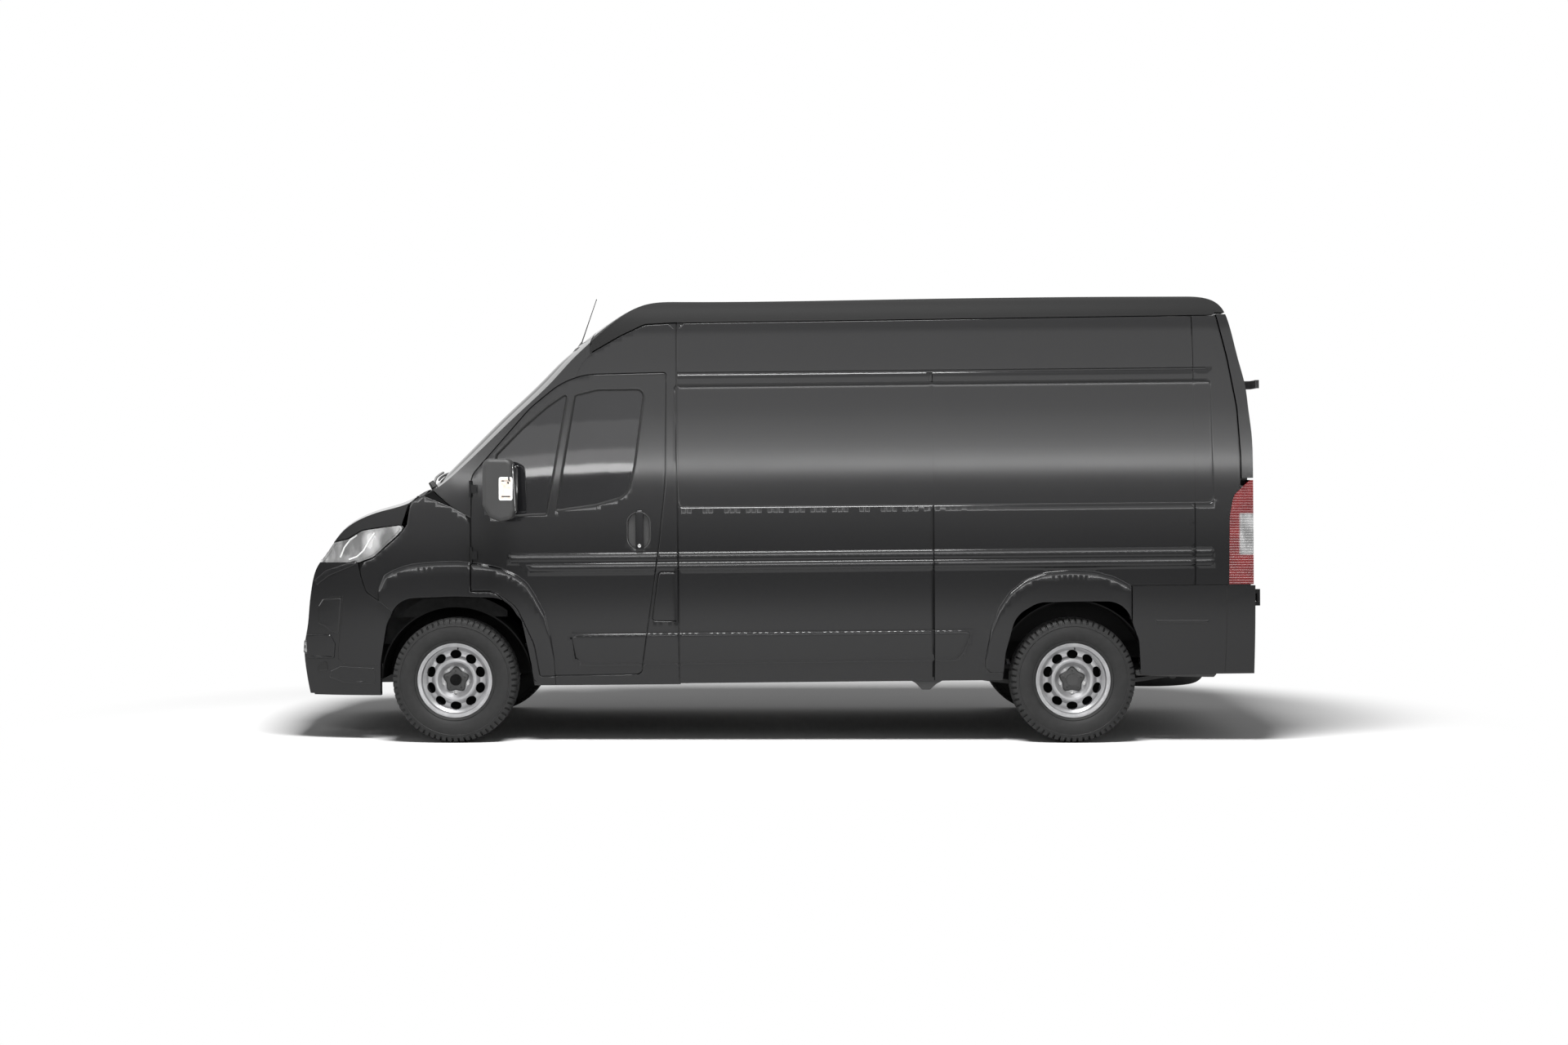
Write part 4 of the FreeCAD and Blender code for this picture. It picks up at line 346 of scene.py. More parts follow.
SAMPLES = 900
u_weights = spline_weights(len(TAPER_SHARES), SAMPLES)
z_weights = spline_weights(len(SECTION_SHARES), SAMPLES)
u_places = u_weights @ np.array([place for place, taper in TAPER_SHARES])
z_places = z_weights @ np.array([above for above, half in SECTION_SHARES])
tapers = u_weights @ np.array([taper for place, taper in TAPER_SHARES])
halves = z_weights @ np.array([half for above, half in SECTION_SHARES])
leans = z_weights @ np.array([1 + LEAN_SHARE * max(0.0, above - LEAN_FROM_SHARE)
                              for above, half in SECTION_SHARES])


def half_width(points):
    """Half the body's width, in shares of its height, at places behind the nose and heights."""
    u, z = points[:, 0], points[:, 1]
    taper = np.interp(u, u_places, tapers)
    return np.interp(z, z_places, halves) - taper * np.interp(z, z_places, leans)


def to_world(points):
    """From the body's own frame, before it leans, to the scene's, in metres."""
    cosine, sine = math.cos(STANCE_ANGLE), math.sin(STANCE_ANGLE)
    dx, dz = points[:, 0] - STANCE_X, points[:, 2] - STANCE_Z
    return np.column_stack([STANCE_X + dx * cosine - dz * sine, points[:, 1],
                            STANCE_Z + dx * sine + dz * cosine])


def on_side(points, side, height=0.0):
    """Points of the side, in shares, raised by a height in metres along its normal."""
    step = 0.004
    base = half_width(points) * BODY_HEIGHT
    slope_u = (half_width(points + [step, 0]) - half_width(points - [step, 0])) / (2 * step)
    slope_z = (half_width(points + [0, step]) - half_width(points - [0, step])) / (2 * step)
    normal = np.column_stack([-slope_u, np.full(len(points), float(side)), -slope_z])
    normal /= np.linalg.norm(normal, axis=1)[:, None]
    place = np.column_stack([NOSE_X + points[:, 0] * BODY_HEIGHT, side * base,
                             points[:, 1] * BODY_HEIGHT])
    return to_world(place + normal * np.reshape(height, (-1, 1)))


# Outlines in shares of the body's height
REAR = (REAR_AXLE_X - NOSE_X) / BODY_HEIGHT


def rounded(corners, arc_step=0.004, line_step=0.016):
    """A closed row of points along an outline of corners, each with its radius."""
    count = len(corners)
    points = []
    for i, (x, y, *rest) in enumerate(corners):
        radius = rest[0] if rest else 0.0
        here = np.array([x, y])
        before = np.array(corners[i - 1][:2]) - here
        after = np.array(corners[(i + 1) % count][:2]) - here
        long_a, long_b = np.linalg.norm(before), np.linalg.norm(after)
        before, after = before / long_a, after / long_b
        if radius <= 0:
            points.append(here)
            continue
        half = math.acos(max(-1.0, min(1.0, float(before @ after)))) / 2
        if half > math.pi / 2 - 0.01:
            points.append(here)
            continue
        reach = min(radius / math.tan(half), long_a / 2, long_b / 2)
        real = reach * math.tan(half)
        middle = before + after
        middle /= np.linalg.norm(middle)
        centre = here + middle * real / math.sin(half)
        turn = math.pi - 2 * half
        steps = max(2, int(math.ceil(real * turn / arc_step)))
        first = here + before * reach - centre
        cross = before[0] * after[1] - before[1] * after[0]
        sign = -1.0 if cross > 0 else 1.0
        for k in range(steps + 1):
            angle = sign * turn * k / steps
            c, s = math.cos(angle), math.sin(angle)
            points.append(centre + [first[0] * c - first[1] * s, first[0] * s + first[1] * c])
    dense = []
    for a, b in zip(points, points[1:] + points[:1]):
        steps = max(1, int(math.ceil(np.linalg.norm(b - a) / line_step)))
        dense += [a + (b - a) * k / steps for k in range(steps)]
    return np.array(dense)


def from_rear_axle(corners):
    return [(x + REAR, *rest) for x, *rest in corners]


def signed_distance(points, outline):
    """How far inside an outline each point lies, negative outside it."""
    a, b = outline, np.roll(outline, -1, axis=0)
    edge = b - a
    along = np.maximum((edge ** 2).sum(1), 1e-12)
    nearest = np.full(len(points), 1e9)
    inside = np.zeros(len(points), dtype=bool)
    for start in range(0, len(points), 4000):
        part = points[start:start + 4000]
        away = part[:, None, :] - a[None]
        share = np.clip((away * edge[None]).sum(2) / along, 0, 1)
        gap = away - share[..., None] * edge[None]
        nearest[start:start + 4000] = np.sqrt((gap ** 2).sum(2).min(1))
        above = (a[:, 1] > part[:, 1, None]) != (b[:, 1] > part[:, 1, None])
        rise = np.where(np.abs(edge[:, 1]) < 1e-12, 1e-12, edge[:, 1])
        crossing = a[:, 0] + (part[:, 1, None] - a[:, 1]) * edge[:, 0] / rise
        inside[start:start + 4000] = ((above & (part[:, 0, None] < crossing)).sum(1) % 2) == 1
    return np.where(inside, nearest, -nearest)


def shifted(outline, distance):
    """An outline moved inwards by a distance, without the points that fold over."""
    before, after = np.roll(outline, 1, axis=0), np.roll(outline, -1, axis=0)
    tangent = after - before
    tangent /= np.linalg.norm(tangent, axis=1)[:, None]
    area = 0.5 * np.sum(outline[:, 0] * after[:, 1] - after[:, 0] * outline[:, 1])
    inward = np.column_stack([-tangent[:, 1], tangent[:, 0]]) * (1 if area > 0 else -1)
    moved = outline + inward * distance
    real = signed_distance(moved, outline)
    return moved[np.abs(real - distance) < 0.12 * abs(distance) + 1e-5]


# Raised and sunk forms: outline, where its edge bends as pairs of inside distance and height
CREST = [
    (0.205, 0.350, 0.03), (0.2196, 0.3824, 0.02), (0.2432, 0.3948, 0.05),
    (0.2796, 0.4072, 0.10), (0.3344, 0.4120, 0.15), (0.3888, 0.4132, 0.15),
    (0.4432, 0.4072, 0.12), (0.4796, 0.3996, 0.10), (0.5156, 0.3848, 0.08),
    (0.5440, 0.3648, 0.08), (0.5608, 0.3372, 0.08), (0.5820, 0.2972, 0.08),
    (0.5960, 0.2440, 0.08), (0.6040, 0.1920, 0.06), (0.6060, 0.1200, 0.0), (0.540, 0.050, 0.0),
    (0.205, 0.050, 0.0),
]
REAR_CREST = from_rear_axle([
    (-0.199, 0.150, 0.0), (-0.199, 0.182, 0.03), (-0.1856, 0.2508, 0.06),
    (-0.1688, 0.2960, 0.06), (-0.1448, 0.3320, 0.06), (-0.1084, 0.3608, 0.06),
    (-0.0628, 0.3768, 0.06), (-0.0084, 0.3808, 0.10), (0.0464, 0.3776, 0.10),
    (0.0916, 0.3644, 0.05), (0.1332, 0.3420, 0.0), (0.1332, 0.150, 0.0),
])
SWAGE_UPPER = [(0.500, 0.4288, 0.006), (2.0724, 0.4288, 0.008), (2.0724, 0.4080, 0.008),
               (0.505, 0.4080, 0.004)]
SWAGE_LOWER = [(0.536, 0.4068, 0.004), (2.0724, 0.4068, 0.008), (2.0724, 0.3876, 0.008),
               (0.548, 0.3876, 0.006)]
MOULDING = [(0.6400, 0.2496, 0.010), (1.5370, 0.2496, 0.012), (1.5130, 0.1970, 0.02),
            (1.4980, 0.1830, 0.010), (0.6680, 0.1800, 0.010), (0.6500, 0.1950, 0.02)]
RECESS = [(0.8720, 0.8028, 0.012), (2.0704, 0.8036, 0.012), (2.0748, 0.5236, 0.012),
          (0.8804, 0.5248, 0.012)]
TOP_GROOVE = [(0.8600, 0.8222), (0.8600, 0.8298), (2.0740, 0.8298), (2.0740, 0.8222)]
RAIL_GROOVE = [(1.4560, 0.4924), (1.4560, 0.5076), (2.0600, 0.5076), (2.0600, 0.4924)]
SEAM_FRONT = [(1.44915, 0.100), (1.44915, 0.8222), (1.45005, 0.8222), (1.45005, 0.100)]
SEAM_REAR = [(2.03035, 0.100), (2.03035, 0.9440), (2.03125, 0.9440), (2.03125, 0.100)]
MM = 0.001
FLARE_BENDS = [(0, 0), (2, 0.5), (4, 2.0), (6.5, 5.6), (9, 9.5), (11.5, 12.0), (14, 13.2),
               (24, 14.6), (60, 15.2)]
FORMS = {
    "front_flare": (CREST, FLARE_BENDS),
    "rear_flare": (REAR_CREST, FLARE_BENDS),
    "swage_upper": (SWAGE_UPPER, [(0, 0), (3, 3.4), (8, 5.4), (16, 6.4)]),
    "swage_lower": (SWAGE_LOWER, [(0, 0), (3, 3.4), (8, 5.4), (16, 6.4)]),
    "moulding": (MOULDING, [(0, 0), (3, 5.5), (8, 9.2), (20, 10.4)]),
    "recess": (RECESS, [(0, 0), (2, -0.6), (8, -6.0), (12, -6.6)]),
    "top_groove": (TOP_GROOVE, [(0, 0), (2, -0.8), (5, -5.0), (8, -5.0)]),
    "rail_groove": (RAIL_GROOVE, [(0, 0), (2, -1.0), (5, -13.5), (14, -14.0)]),
    "seam_front": (SEAM_FRONT, [(-1.0, 0), (0.0, -4.5), (1.1, -7.0)]),
    "seam_rear": (SEAM_REAR, [(-1.0, 0), (0.0, -4.5), (1.1, -7.0)]),
}
outlines = {name: rounded(corners) for name, (corners, bends) in FORMS.items()}
BASE_RISE = 1.0
EDGE_ROLL = 3.5


def heights(points, forms):
    """How far the skin stands off the body's side, in metres, before its edges roll over."""
    raised = np.zeros(len(points))
    sunk = np.zeros(len(points))
    for name in forms:
        bends = FORMS[name][1]
        distance = signed_distance(points, outlines[name]) * BODY_HEIGHT / MM
        value = np.interp(distance, [d for d, h in bends], [h for d, h in bends])
        value[distance < bends[0][0]] = 0.0
        if bends[-1][1] > 0:
            raised = np.maximum(raised, value)
        else:
            sunk = np.minimum(sunk, value)
    return (raised + sunk + BASE_RISE) * MM


def add_mesh(name, points, faces, material, smooth=35.0, normals=None):
    mesh = bpy.data.meshes.new(name)
    mesh.from_pydata([tuple(p) for p in points], [], [tuple(int(i) for i in f) for f in faces])
    mesh.materials.append(material)
    mesh.shade_smooth()
    mesh.validate()
    if normals is None:
        mesh.set_sharp_from_angle(angle=math.radians(smooth))
    else:
        mesh.normals_split_custom_set_from_vertices([tuple(n) for n in normals])
    obj = bpy.data.objects.new(name, mesh)
    scene.collection.objects.link(obj)
    return obj


SKIN_GRID = 0.030
SKIN_DEPTH = 12.0
RIM_RINGS = (1.0, 3.5)


def side_skin(name, side, outline, holes, forms, body="root"):
    """A thin outer skin over one panel of a side, with the forms pressed into it."""
    rings = []
    for edge in [outline] + holes:
        inward = 1 if edge is outline else -1
        rings += [edge]
        rings += [shifted(edge, inward * gap * MM / BODY_HEIGHT) for gap in RIM_RINGS]
    for form in forms:
        for reach, height in FORMS[form][1]:
            ring = outlines[form] if reach == 0 else shifted(outlines[form],
                                                             reach * MM / BODY_HEIGHT)
            rings.append(ring)
    low, high = outline.min(0), outline.max(0)
    step = SKIN_GRID / BODY_HEIGHT
    grid_u, grid_z = np.meshgrid(np.arange(low[0] + step / 2, high[0], step),
                                 np.arange(low[1] + step / 2, high[1], step))
    points = [np.column_stack([grid_u.ravel(), grid_z.ravel()])]
    edges = []
    start = len(points[0])
    for ring in rings:
        if len(ring) < 3:
            continue
        closed = np.roll(ring, -1, axis=0)
        near = np.linalg.norm(closed - ring, axis=1) < 0.024
        edges += [(start + i, start + (i + 1) % len(ring)) for i in range(len(ring)) if near[i]]
        points.append(ring)
        start += len(ring)
    flat = np.concatenate(points)
    found, _, faces, _, _, _ = mathutils.geometry.delaunay_2d_cdt(
        [Vector(p) for p in flat], edges, [], 0, 1e-6)
    flat = np.array([tuple(v) for v in found])
    faces = np.array([tuple(f) for f in faces])
    middle = flat[faces].mean(1)
    keep = signed_distance(middle, outline) > 0
    for hole in holes:
        keep &= signed_distance(middle, hole) < 0
    faces = faces[keep]
    used = np.unique(faces)
    order = np.full(len(flat), -1)
    order[used] = np.arange(len(used))
    flat, faces = flat[used], order[faces]

    def raised(points):
        inside = signed_distance(points, outline)
        for hole in holes:
            inside = np.minimum(inside, -signed_distance(points, hole))
        near = np.clip(1 - inside * BODY_HEIGHT / MM / EDGE_ROLL, 0, 1)
        roll = EDGE_ROLL * (1 - np.sqrt(1 - np.minimum(near, 0.999) ** 2)) * MM
        return heights(points, forms) - roll

    height = raised(flat)
    top = on_side(flat, side, height)
    reach = 0.8 * MM / BODY_HEIGHT
    ahead = on_side(flat + [reach, 0], side, raised(flat + [reach, 0])) - top
    above = on_side(flat + [0, reach], side, raised(flat + [0, reach])) - top
    normals = np.cross(ahead, above) * -side
    normals /= np.linalg.norm(normals, axis=1)[:, None]
    winding = {}
    for f in faces:
        for k in range(3):
            winding[(int(f[k]), int(f[(k + 1) % 3]))] = True
    border = [(a, b) for a, b in winding if (b, a) not in winding]
    rim = sorted({a for a, b in border} | {b for a, b in border})
    below = {a: len(flat) + i for i, a in enumerate(rim)}
    low_points = on_side(flat[rim], side, height[rim] - SKIN_DEPTH * MM)
    tris = [tuple(f) for f in faces] + [(b, a, below[a], below[b]) for a, b in border]
    if side > 0:
        tris = [f[::-1] for f in tris]
    obj = add_mesh(name, np.concatenate([top, low_points]), tris, FINISHES["body_paint"],
                   normals=np.concatenate([normals, normals[rim]]))
    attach(obj, body)


# The panels' outlines, as in the part's source
CAB_DOOR = [
    (0.418, 0.347, 0.005), (0.421, 0.602, 0.036), (0.554, 0.752, 0.200), (0.644, 0.824, 0.168),
    (0.856, 0.827, 0.006), (0.853, 0.592, 0.600), (0.836, 0.440, 1.000), (0.794, 0.157, 0.012),
    (0.569, 0.155, 0.004), (0.558, 0.226, 0.080), (0.520, 0.310, 0.060), (0.472, 0.347, 0.040),
]
DOOR_GLASS = [
    (0.653, 0.780, 0.006), (0.704, 0.792, 0.060), (0.809, 0.792, 0.016), (0.786, 0.622, 0.360),
    (0.770, 0.554, 0.044), (0.698, 0.534, 0.080), (0.608, 0.522, 0.005),
]
QUARTER_GLASS = [
    (0.477, 0.649, 0.008), (0.536, 0.708, 0.240), (0.591, 0.755, 0.240), (0.638, 0.786, 0.005),
    (0.608, 0.624, 0.600), (0.589, 0.515, 0.006), (0.556, 0.514, 0.040), (0.460, 0.509, 0.008),
    (0.464, 0.576, 0.040),
]
FRONT_ARCH = [
    (0.202, 0.060, 0.002), (0.207, 0.183, 0.080), (0.224, 0.273, 0.060), (0.256, 0.330, 0.060),
    (0.381, 0.334, 0.200), (0.496, 0.330, 0.072), (0.532, 0.272, 0.072), (0.550, 0.179, 0.060),
    (0.556, 0.060, 0.002),
]
REAR_ARCH = from_rear_axle([
    (-0.163, 0.060, 0.002), (-0.152, 0.196, 0.120), (-0.129, 0.280, 0.060),
    (-0.079, 0.309, 0.060), (0.028, 0.310, 0.200), (0.113, 0.309, 0.056),
    (0.146, 0.220, 0.056), (0.157, 0.060, 0.002),
])
TAIL_LAMP = from_rear_axle([
    (0.430, 0.578, 0.0), (0.394, 0.576, 0.0), (0.357, 0.543, 0.032), (0.348, 0.496, 0.060),
    (0.346, 0.3445, 0.0), (0.430, 0.3445, 0.0),
])
FUEL_FLAP = [
    (0.838, 0.384, 0.005), (0.878, 0.383, 0.005), (0.877, 0.276, 0.005), (0.822, 0.277, 0.005),
]
WING = [
    (0.163, 0.409), (0.195, 0.4195, 0.040), (0.2535, 0.4695, 0.040),
    (0.2735, 0.4935), (0.283, 0.545), (0.310, 0.560), (0.372, 0.534, 0.020),
    (0.4155, 0.510), (0.4155, 0.3435), (0.471, 0.3435, 0.040), (0.499, 0.3125),
    (0.499, 0.285), (0.237, 0.285), (0.237, 0.3005), (0.2145, 0.3205),
    (0.179, 0.345, 0.020), (0.168, 0.379, 0.020),
]
CAB_REAR = [
    (0.668, 0.850), (0.687, 0.871), (0.754, 0.909, 0.100), (0.809, 0.935, 0.030),
    (0.8785, 0.938), (0.8785, 0.134), (0.556, 0.134), (0.545, 0.200), (0.530, 0.280),
    (0.472, 0.345, 0.040), (0.430, 0.3455),
]
SIDE_PANEL = [
    (0.8815, 0.134), (0.8815, 0.938), (2.079, 0.944), (2.0830, 0.944),
    (2.1055, 0.848, 0.200), (2.1247, 0.737, 0.200), (2.1305, 0.627, 0.200),
    (2.1305, 0.3450), (1.888, 0.3450), (1.888, 0.200), (1.700, 0.134),
]
SLIDING_DOOR = [
    (0.884, 0.190, 0.010), (0.884, 0.822, 0.020), (1.446, 0.822, 0.020), (1.446, 0.190, 0.010),
]
GROWN = 0.5 * MM / BODY_HEIGHT
SKIN_GAP = -5.4 * MM / BODY_HEIGHT
door_ring = rounded(CAB_DOOR)
sliding_ring = rounded(SLIDING_DOOR)
flap_ring = rounded(FUEL_FLAP)
LOW_FORMS = ["swage_upper", "swage_lower", "moulding"]
HANDLE_POCKET = [(-0.025, 0.4364, 0.024), (-0.025, 0.5168, 0.024), (0.025, 0.5168, 0.024),
                 (0.025, 0.4364, 0.024)]


def moved(corners, shift):
    return [(x + shift, *rest) for x, *rest in corners]


for name, side in SIDES:
    side_skin(f"cab_door_skin_{name}", side, shifted(door_ring, -GROWN),
              [rounded(DOOR_GLASS), rounded(QUARTER_GLASS), rounded(moved(HANDLE_POCKET, 0.793))],
              ["front_flare"] + LOW_FORMS,
              body=f"cab_door_{name}")
    side_skin(f"wing_skin_{name}", side, rounded(WING), [rounded(FRONT_ARCH)], ["front_flare"])
    holes = [shifted(door_ring, SKIN_GAP), rounded(FRONT_ARCH)]
    if side < 0:
        holes.append(shifted(flap_ring, SKIN_GAP))
    side_skin(f"cab_side_skin_{name}", side, rounded(CAB_REAR), holes,
              ["front_flare", "recess"] + LOW_FORMS)
    holes = [rounded(REAR_ARCH), rounded(TAIL_LAMP)]
    forms = ["rear_flare", "recess", "top_groove", "seam_rear"] + LOW_FORMS
    if side > 0:
        holes.append(shifted(sliding_ring, SKIN_GAP))
        forms.append("rail_groove")
    else:
        forms.append("seam_front")
    side_skin(f"side_skin_{name}", side, rounded(SIDE_PANEL), holes, forms)
side_skin("sliding_door_skin", 1, shifted(sliding_ring, -GROWN),
          [rounded(moved(HANDLE_POCKET, 0.924))], ["recess"] + LOW_FORMS)
side_skin("fuel_flap_skin", -1, shifted(flap_ring, -GROWN), [], [], body="fuel_flap")


# Helpers for the trim
def inset(outline, distance):
    """An outline's points, each moved inwards by a distance."""
    tangent = np.roll(outline, -1, axis=0) - np.roll(outline, 1, axis=0)
    tangent /= np.maximum(np.linalg.norm(tangent, axis=1), 1e-9)[:, None]
    after = np.roll(outline, -1, axis=0)
    area = np.sum(outline[:, 0] * after[:, 1] - after[:, 0] * outline[:, 1])
    inward = np.column_stack([-tangent[:, 1], tangent[:, 0]]) * (1 if area > 0 else -1)
    return outline + inward * distance


def stitched(rings):
    """Quads between each row of points and the next, all of one length and closed."""
    count = len(rings[0])
    return [(k * count + i, k * count + (i + 1) % count,
             (k + 1) * count + (i + 1) % count, (k + 1) * count + i)
            for k in range(len(rings) - 1) for i in range(count)]


def tidy_normals(obj):
    model = bmesh.new()
    model.from_mesh(obj.data)
    bmesh.ops.recalc_face_normals(model, faces=model.faces)
    model.to_mesh(obj.data)
    model.free()


def fitted(obj, body):
    """Tidies a piece's normals and puts it on its body."""
    tidy_normals(obj)
    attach(obj, body)


def mould(name, outline, profile, place, material, body, capped=True, unit=1.0):
    """A form that follows an outline; its profile is (inside distance, height) pairs in mm.
    The unit is how many metres the outline's own unit stands for."""
    rings = [place(inset(outline, d * MM / unit), h * MM) for d, h in profile]
    faces = stitched(rings)
    count = len(outline)
    points = np.concatenate(rings)
    if capped:
        flat = inset(outline, profile[-1][0] * MM / unit)
        first = (len(rings) - 1) * count
        fans = mathutils.geometry.tessellate_polygon([[Vector((*p, 0)) for p in flat]])
        faces += [tuple(first + i for i in fan) for fan in fans]
    fitted(add_mesh(name, points, faces, FINISHES[material]), body)


def on_left_or_right(side):
    return lambda flat, height: on_side(flat, side, height)


def drape(node, axis, sign):
    """Lays points drawn on a plane onto a node's surface, as seen along one axis."""
    target = NODES[node]
    inverse = target.matrix_world.inverted()
    kept = [i for i in range(3) if i != axis]
    toward = Vector([0.0, 0.0, 0.0])
    toward[axis] = -sign
    corners = [target.matrix_world @ Vector(c) for c in target.bound_box]
    inner = sum(c[axis] for c in corners) / len(corners)

    def place(flat, height):
        found = []
        depth = None
        for a, b in flat:
            origin = Vector([0.0, 0.0, 0.0])
            origin[kept[0]], origin[kept[1]], origin[axis] = a, b, 6.0 * sign
            hit, where, normal, face = target.ray_cast(inverse @ origin, toward)
            if hit:
                where = target.matrix_world @ where
                depth = where[axis]
                found.append(where + normal * height)
            else:
                origin[axis] = inner if depth is None else depth
                if depth is None:
                    near = target.closest_point_on_mesh(inverse @ origin)[1]
                    origin[axis] = (target.matrix_world @ near)[axis]
                found.append(origin - toward * height)
        return np.array([tuple(p) for p in found])
    return place


def flat_place(origin, across, up_way, outward):
    """Lays points on a flat plane in space."""
    origin, across = np.array(origin, float), np.array(across, float)
    up_way, outward = np.array(up_way, float), np.array(outward, float)

    def place(flat, height):
        return origin + flat[:, :1] * across + flat[:, 1:] * up_way + outward * height
    return place


def lathe(name, profile, centre, steps, material, body, sign):
    """Turns (radius, reach) pairs about the cross axis through a centre."""
    turns = np.linspace(0, 2 * math.pi, steps, endpoint=False)
    rings = [np.column_stack([centre[0] + r * np.cos(turns), np.full(steps, centre[1] + sign * y),
                              centre[2] + r * np.sin(turns)]) for r, y in profile]
    fitted(add_mesh(name, np.concatenate(rings), stitched(rings), FINISHES[material]), body)


def tube(name, points, radii, material, body, sides=10):
    """A round bar along a row of points, closed at both ends."""
    points = np.array(points, float)
    radii = np.full(len(points), radii) if np.isscalar(radii) else np.array(radii, float)
    rings = []
    for i, here in enumerate(points):
        ahead = points[min(i + 1, len(points) - 1)] - points[max(i - 1, 0)]
        ahead /= np.linalg.norm(ahead)
        other = np.array([0.0, 1.0, 0.0]) if abs(ahead[1]) < 0.9 else np.array([1.0, 0.0, 0.0])
        one = np.cross(ahead, other)
        one /= np.linalg.norm(one)
        two = np.cross(ahead, one)
        turns = np.linspace(0, 2 * math.pi, sides, endpoint=False)[:, None]
        rings.append(here + radii[i] * (np.cos(turns) * one + np.sin(turns) * two))
    faces = stitched(rings) + [tuple(range(sides)),
                               tuple(range((len(rings) - 1) * sides, len(rings) * sides))]
    fitted(add_mesh(name, np.concatenate(rings), faces, FINISHES[material]), body)


def capsule(low, high, radius, arc_step=0.004):
    """A rectangle with round corners."""
    return rounded([(low[0], low[1], radius), (low[0], high[1], radius),
                    (high[0], high[1], radius), (high[0], low[1], radius)], arc_step, 0.02)


# The camera stands where the photograph's proportions put it
PHOTO_WIDTH = 1920
PHOTO_MIDDLE = (960, 575)
FOCAL_PIXELS = 2926
CAMERA_PLACE = (0.060, -14.3, 1.525)
CAMERA_DOWN = math.radians(1.27)


# Doors: glass seals, handles and locks
HANDLE_GRIP = [(-0.006, 0.432, 0.004), (-0.006, 0.521, 0.004), (0.010, 0.521, 0.004),
               (0.010, 0.432, 0.004)]
SEAL = [(-7.0, 0.2), (-6.4, 2.4), (-3.0, 3.4), (0.5, 2.6), (3.0, -1.0), (8.0, -5.0), (9.0, -11.0)]
BEZEL = [(-6.0, 0.0), (-5.2, 2.6), (-2.0, 4.2), (1.5, 3.2), (3.5, -2.0), (5.0, -11.0)]


def door_handle(name, side, middle, body):
    place = on_left_or_right(side)
    pocket = rounded(moved(HANDLE_POCKET, middle), 0.0016, 0.006)
    grip = rounded(moved(HANDLE_GRIP, middle), 0.0012, 0.006)
    mould(f"handle_bowl_{name}", pocket, [(1.0, -1.0), (1.6, -8.0), (5.0, -11.2)], place,
          "black_plastic", body, unit=BODY_HEIGHT)
    mould(f"handle_bezel_{name}", pocket, BEZEL, place, "trim_gloss", body, capped=False,
          unit=BODY_HEIGHT)
    mould(f"handle_grip_{name}", grip, [(-1.2, -6.0), (-1.2, 8.4), (0.6, 11.0), (4.0, 12.4)],
          place, "body_paint", body, unit=BODY_HEIGHT)
    lock = rounded(moved([(-0.0035, 0.4395, 0.0035), (-0.0035, 0.4465, 0.0035),
                          (0.0035, 0.4465, 0.0035), (0.0035, 0.4395, 0.0035)],
                         middle + 0.0015), 0.0006, 0.004)
    mould(f"lock_{name}", lock, [(-1.0, 8.0), (-1.0, 12.6), (0.6, 13.6), (3.0, 13.0)], place,
          "dull_steel", body, unit=BODY_HEIGHT)


for name, side in SIDES:
    door = f"cab_door_{name}"
    place = on_left_or_right(side)
    for pane, outline in (("glass", DOOR_GLASS), ("quarter", QUARTER_GLASS)):
        mould(f"{pane}_seal_{name}", rounded(outline), SEAL, place, "seal_rubber", door,
              capped=False, unit=BODY_HEIGHT)
    door_handle(name, side, 0.793, door)
door_handle("sliding", 1, 0.924, "root")


# Places read off the photograph, at a given distance across the van
def seen_at(px, py, y):
    reach = (y - CAMERA_PLACE[1]) / FOCAL_PIXELS
    return (CAMERA_PLACE[0] + (px - PHOTO_MIDDLE[0]) * reach,
            CAMERA_PLACE[2] + (PHOTO_MIDDLE[1] - py) * reach)


def seen_outline(pixels, y, radius=0.0, arc_step=0.003, line_step=0.02):
    return rounded([(*seen_at(px, py, y), radius) for px, py in pixels], arc_step, line_step)


def drawn_line(name, node, axis, sign, points, radius):
    """A thin joint drawn along a surface."""
    place = drape(node, axis, sign)
    dense = []
    for a, b in zip(points, points[1:]):
        steps = max(1, int(math.dist(a, b) / 0.03))
        dense += [(a[0] + (b[0] - a[0]) * k / steps, a[1] + (b[1] - a[1]) * k / steps)
                  for k in range(steps)]
    dense.append(points[-1])
    tube(name, place(np.array(dense), 0.0), radius, "seal_rubber", "root", 6)


# Headlamps: a silvered shell behind the lens, two light guides and a projector
SHELL_DEPTH = 0.010


def lamp_shells():
    source = NODES["headlamps"]
    mesh = source.data.copy()
    mesh.name = "lamp_shell"
    mesh.materials.clear()
    mesh.materials.append(FINISHES["lamp_shell"])
    model = bmesh.new()
    model.from_mesh(mesh)
    model.normal_update()
    for v in model.verts:
        v.co -= v.normal * SHELL_DEPTH
    model.to_mesh(mesh)
    model.free()
    shell = bpy.data.objects.new("lamp_shell", mesh)
    shell.matrix_world = source.matrix_world.copy()
    scene.collection.objects.link(shell)
    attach(shell, "root")


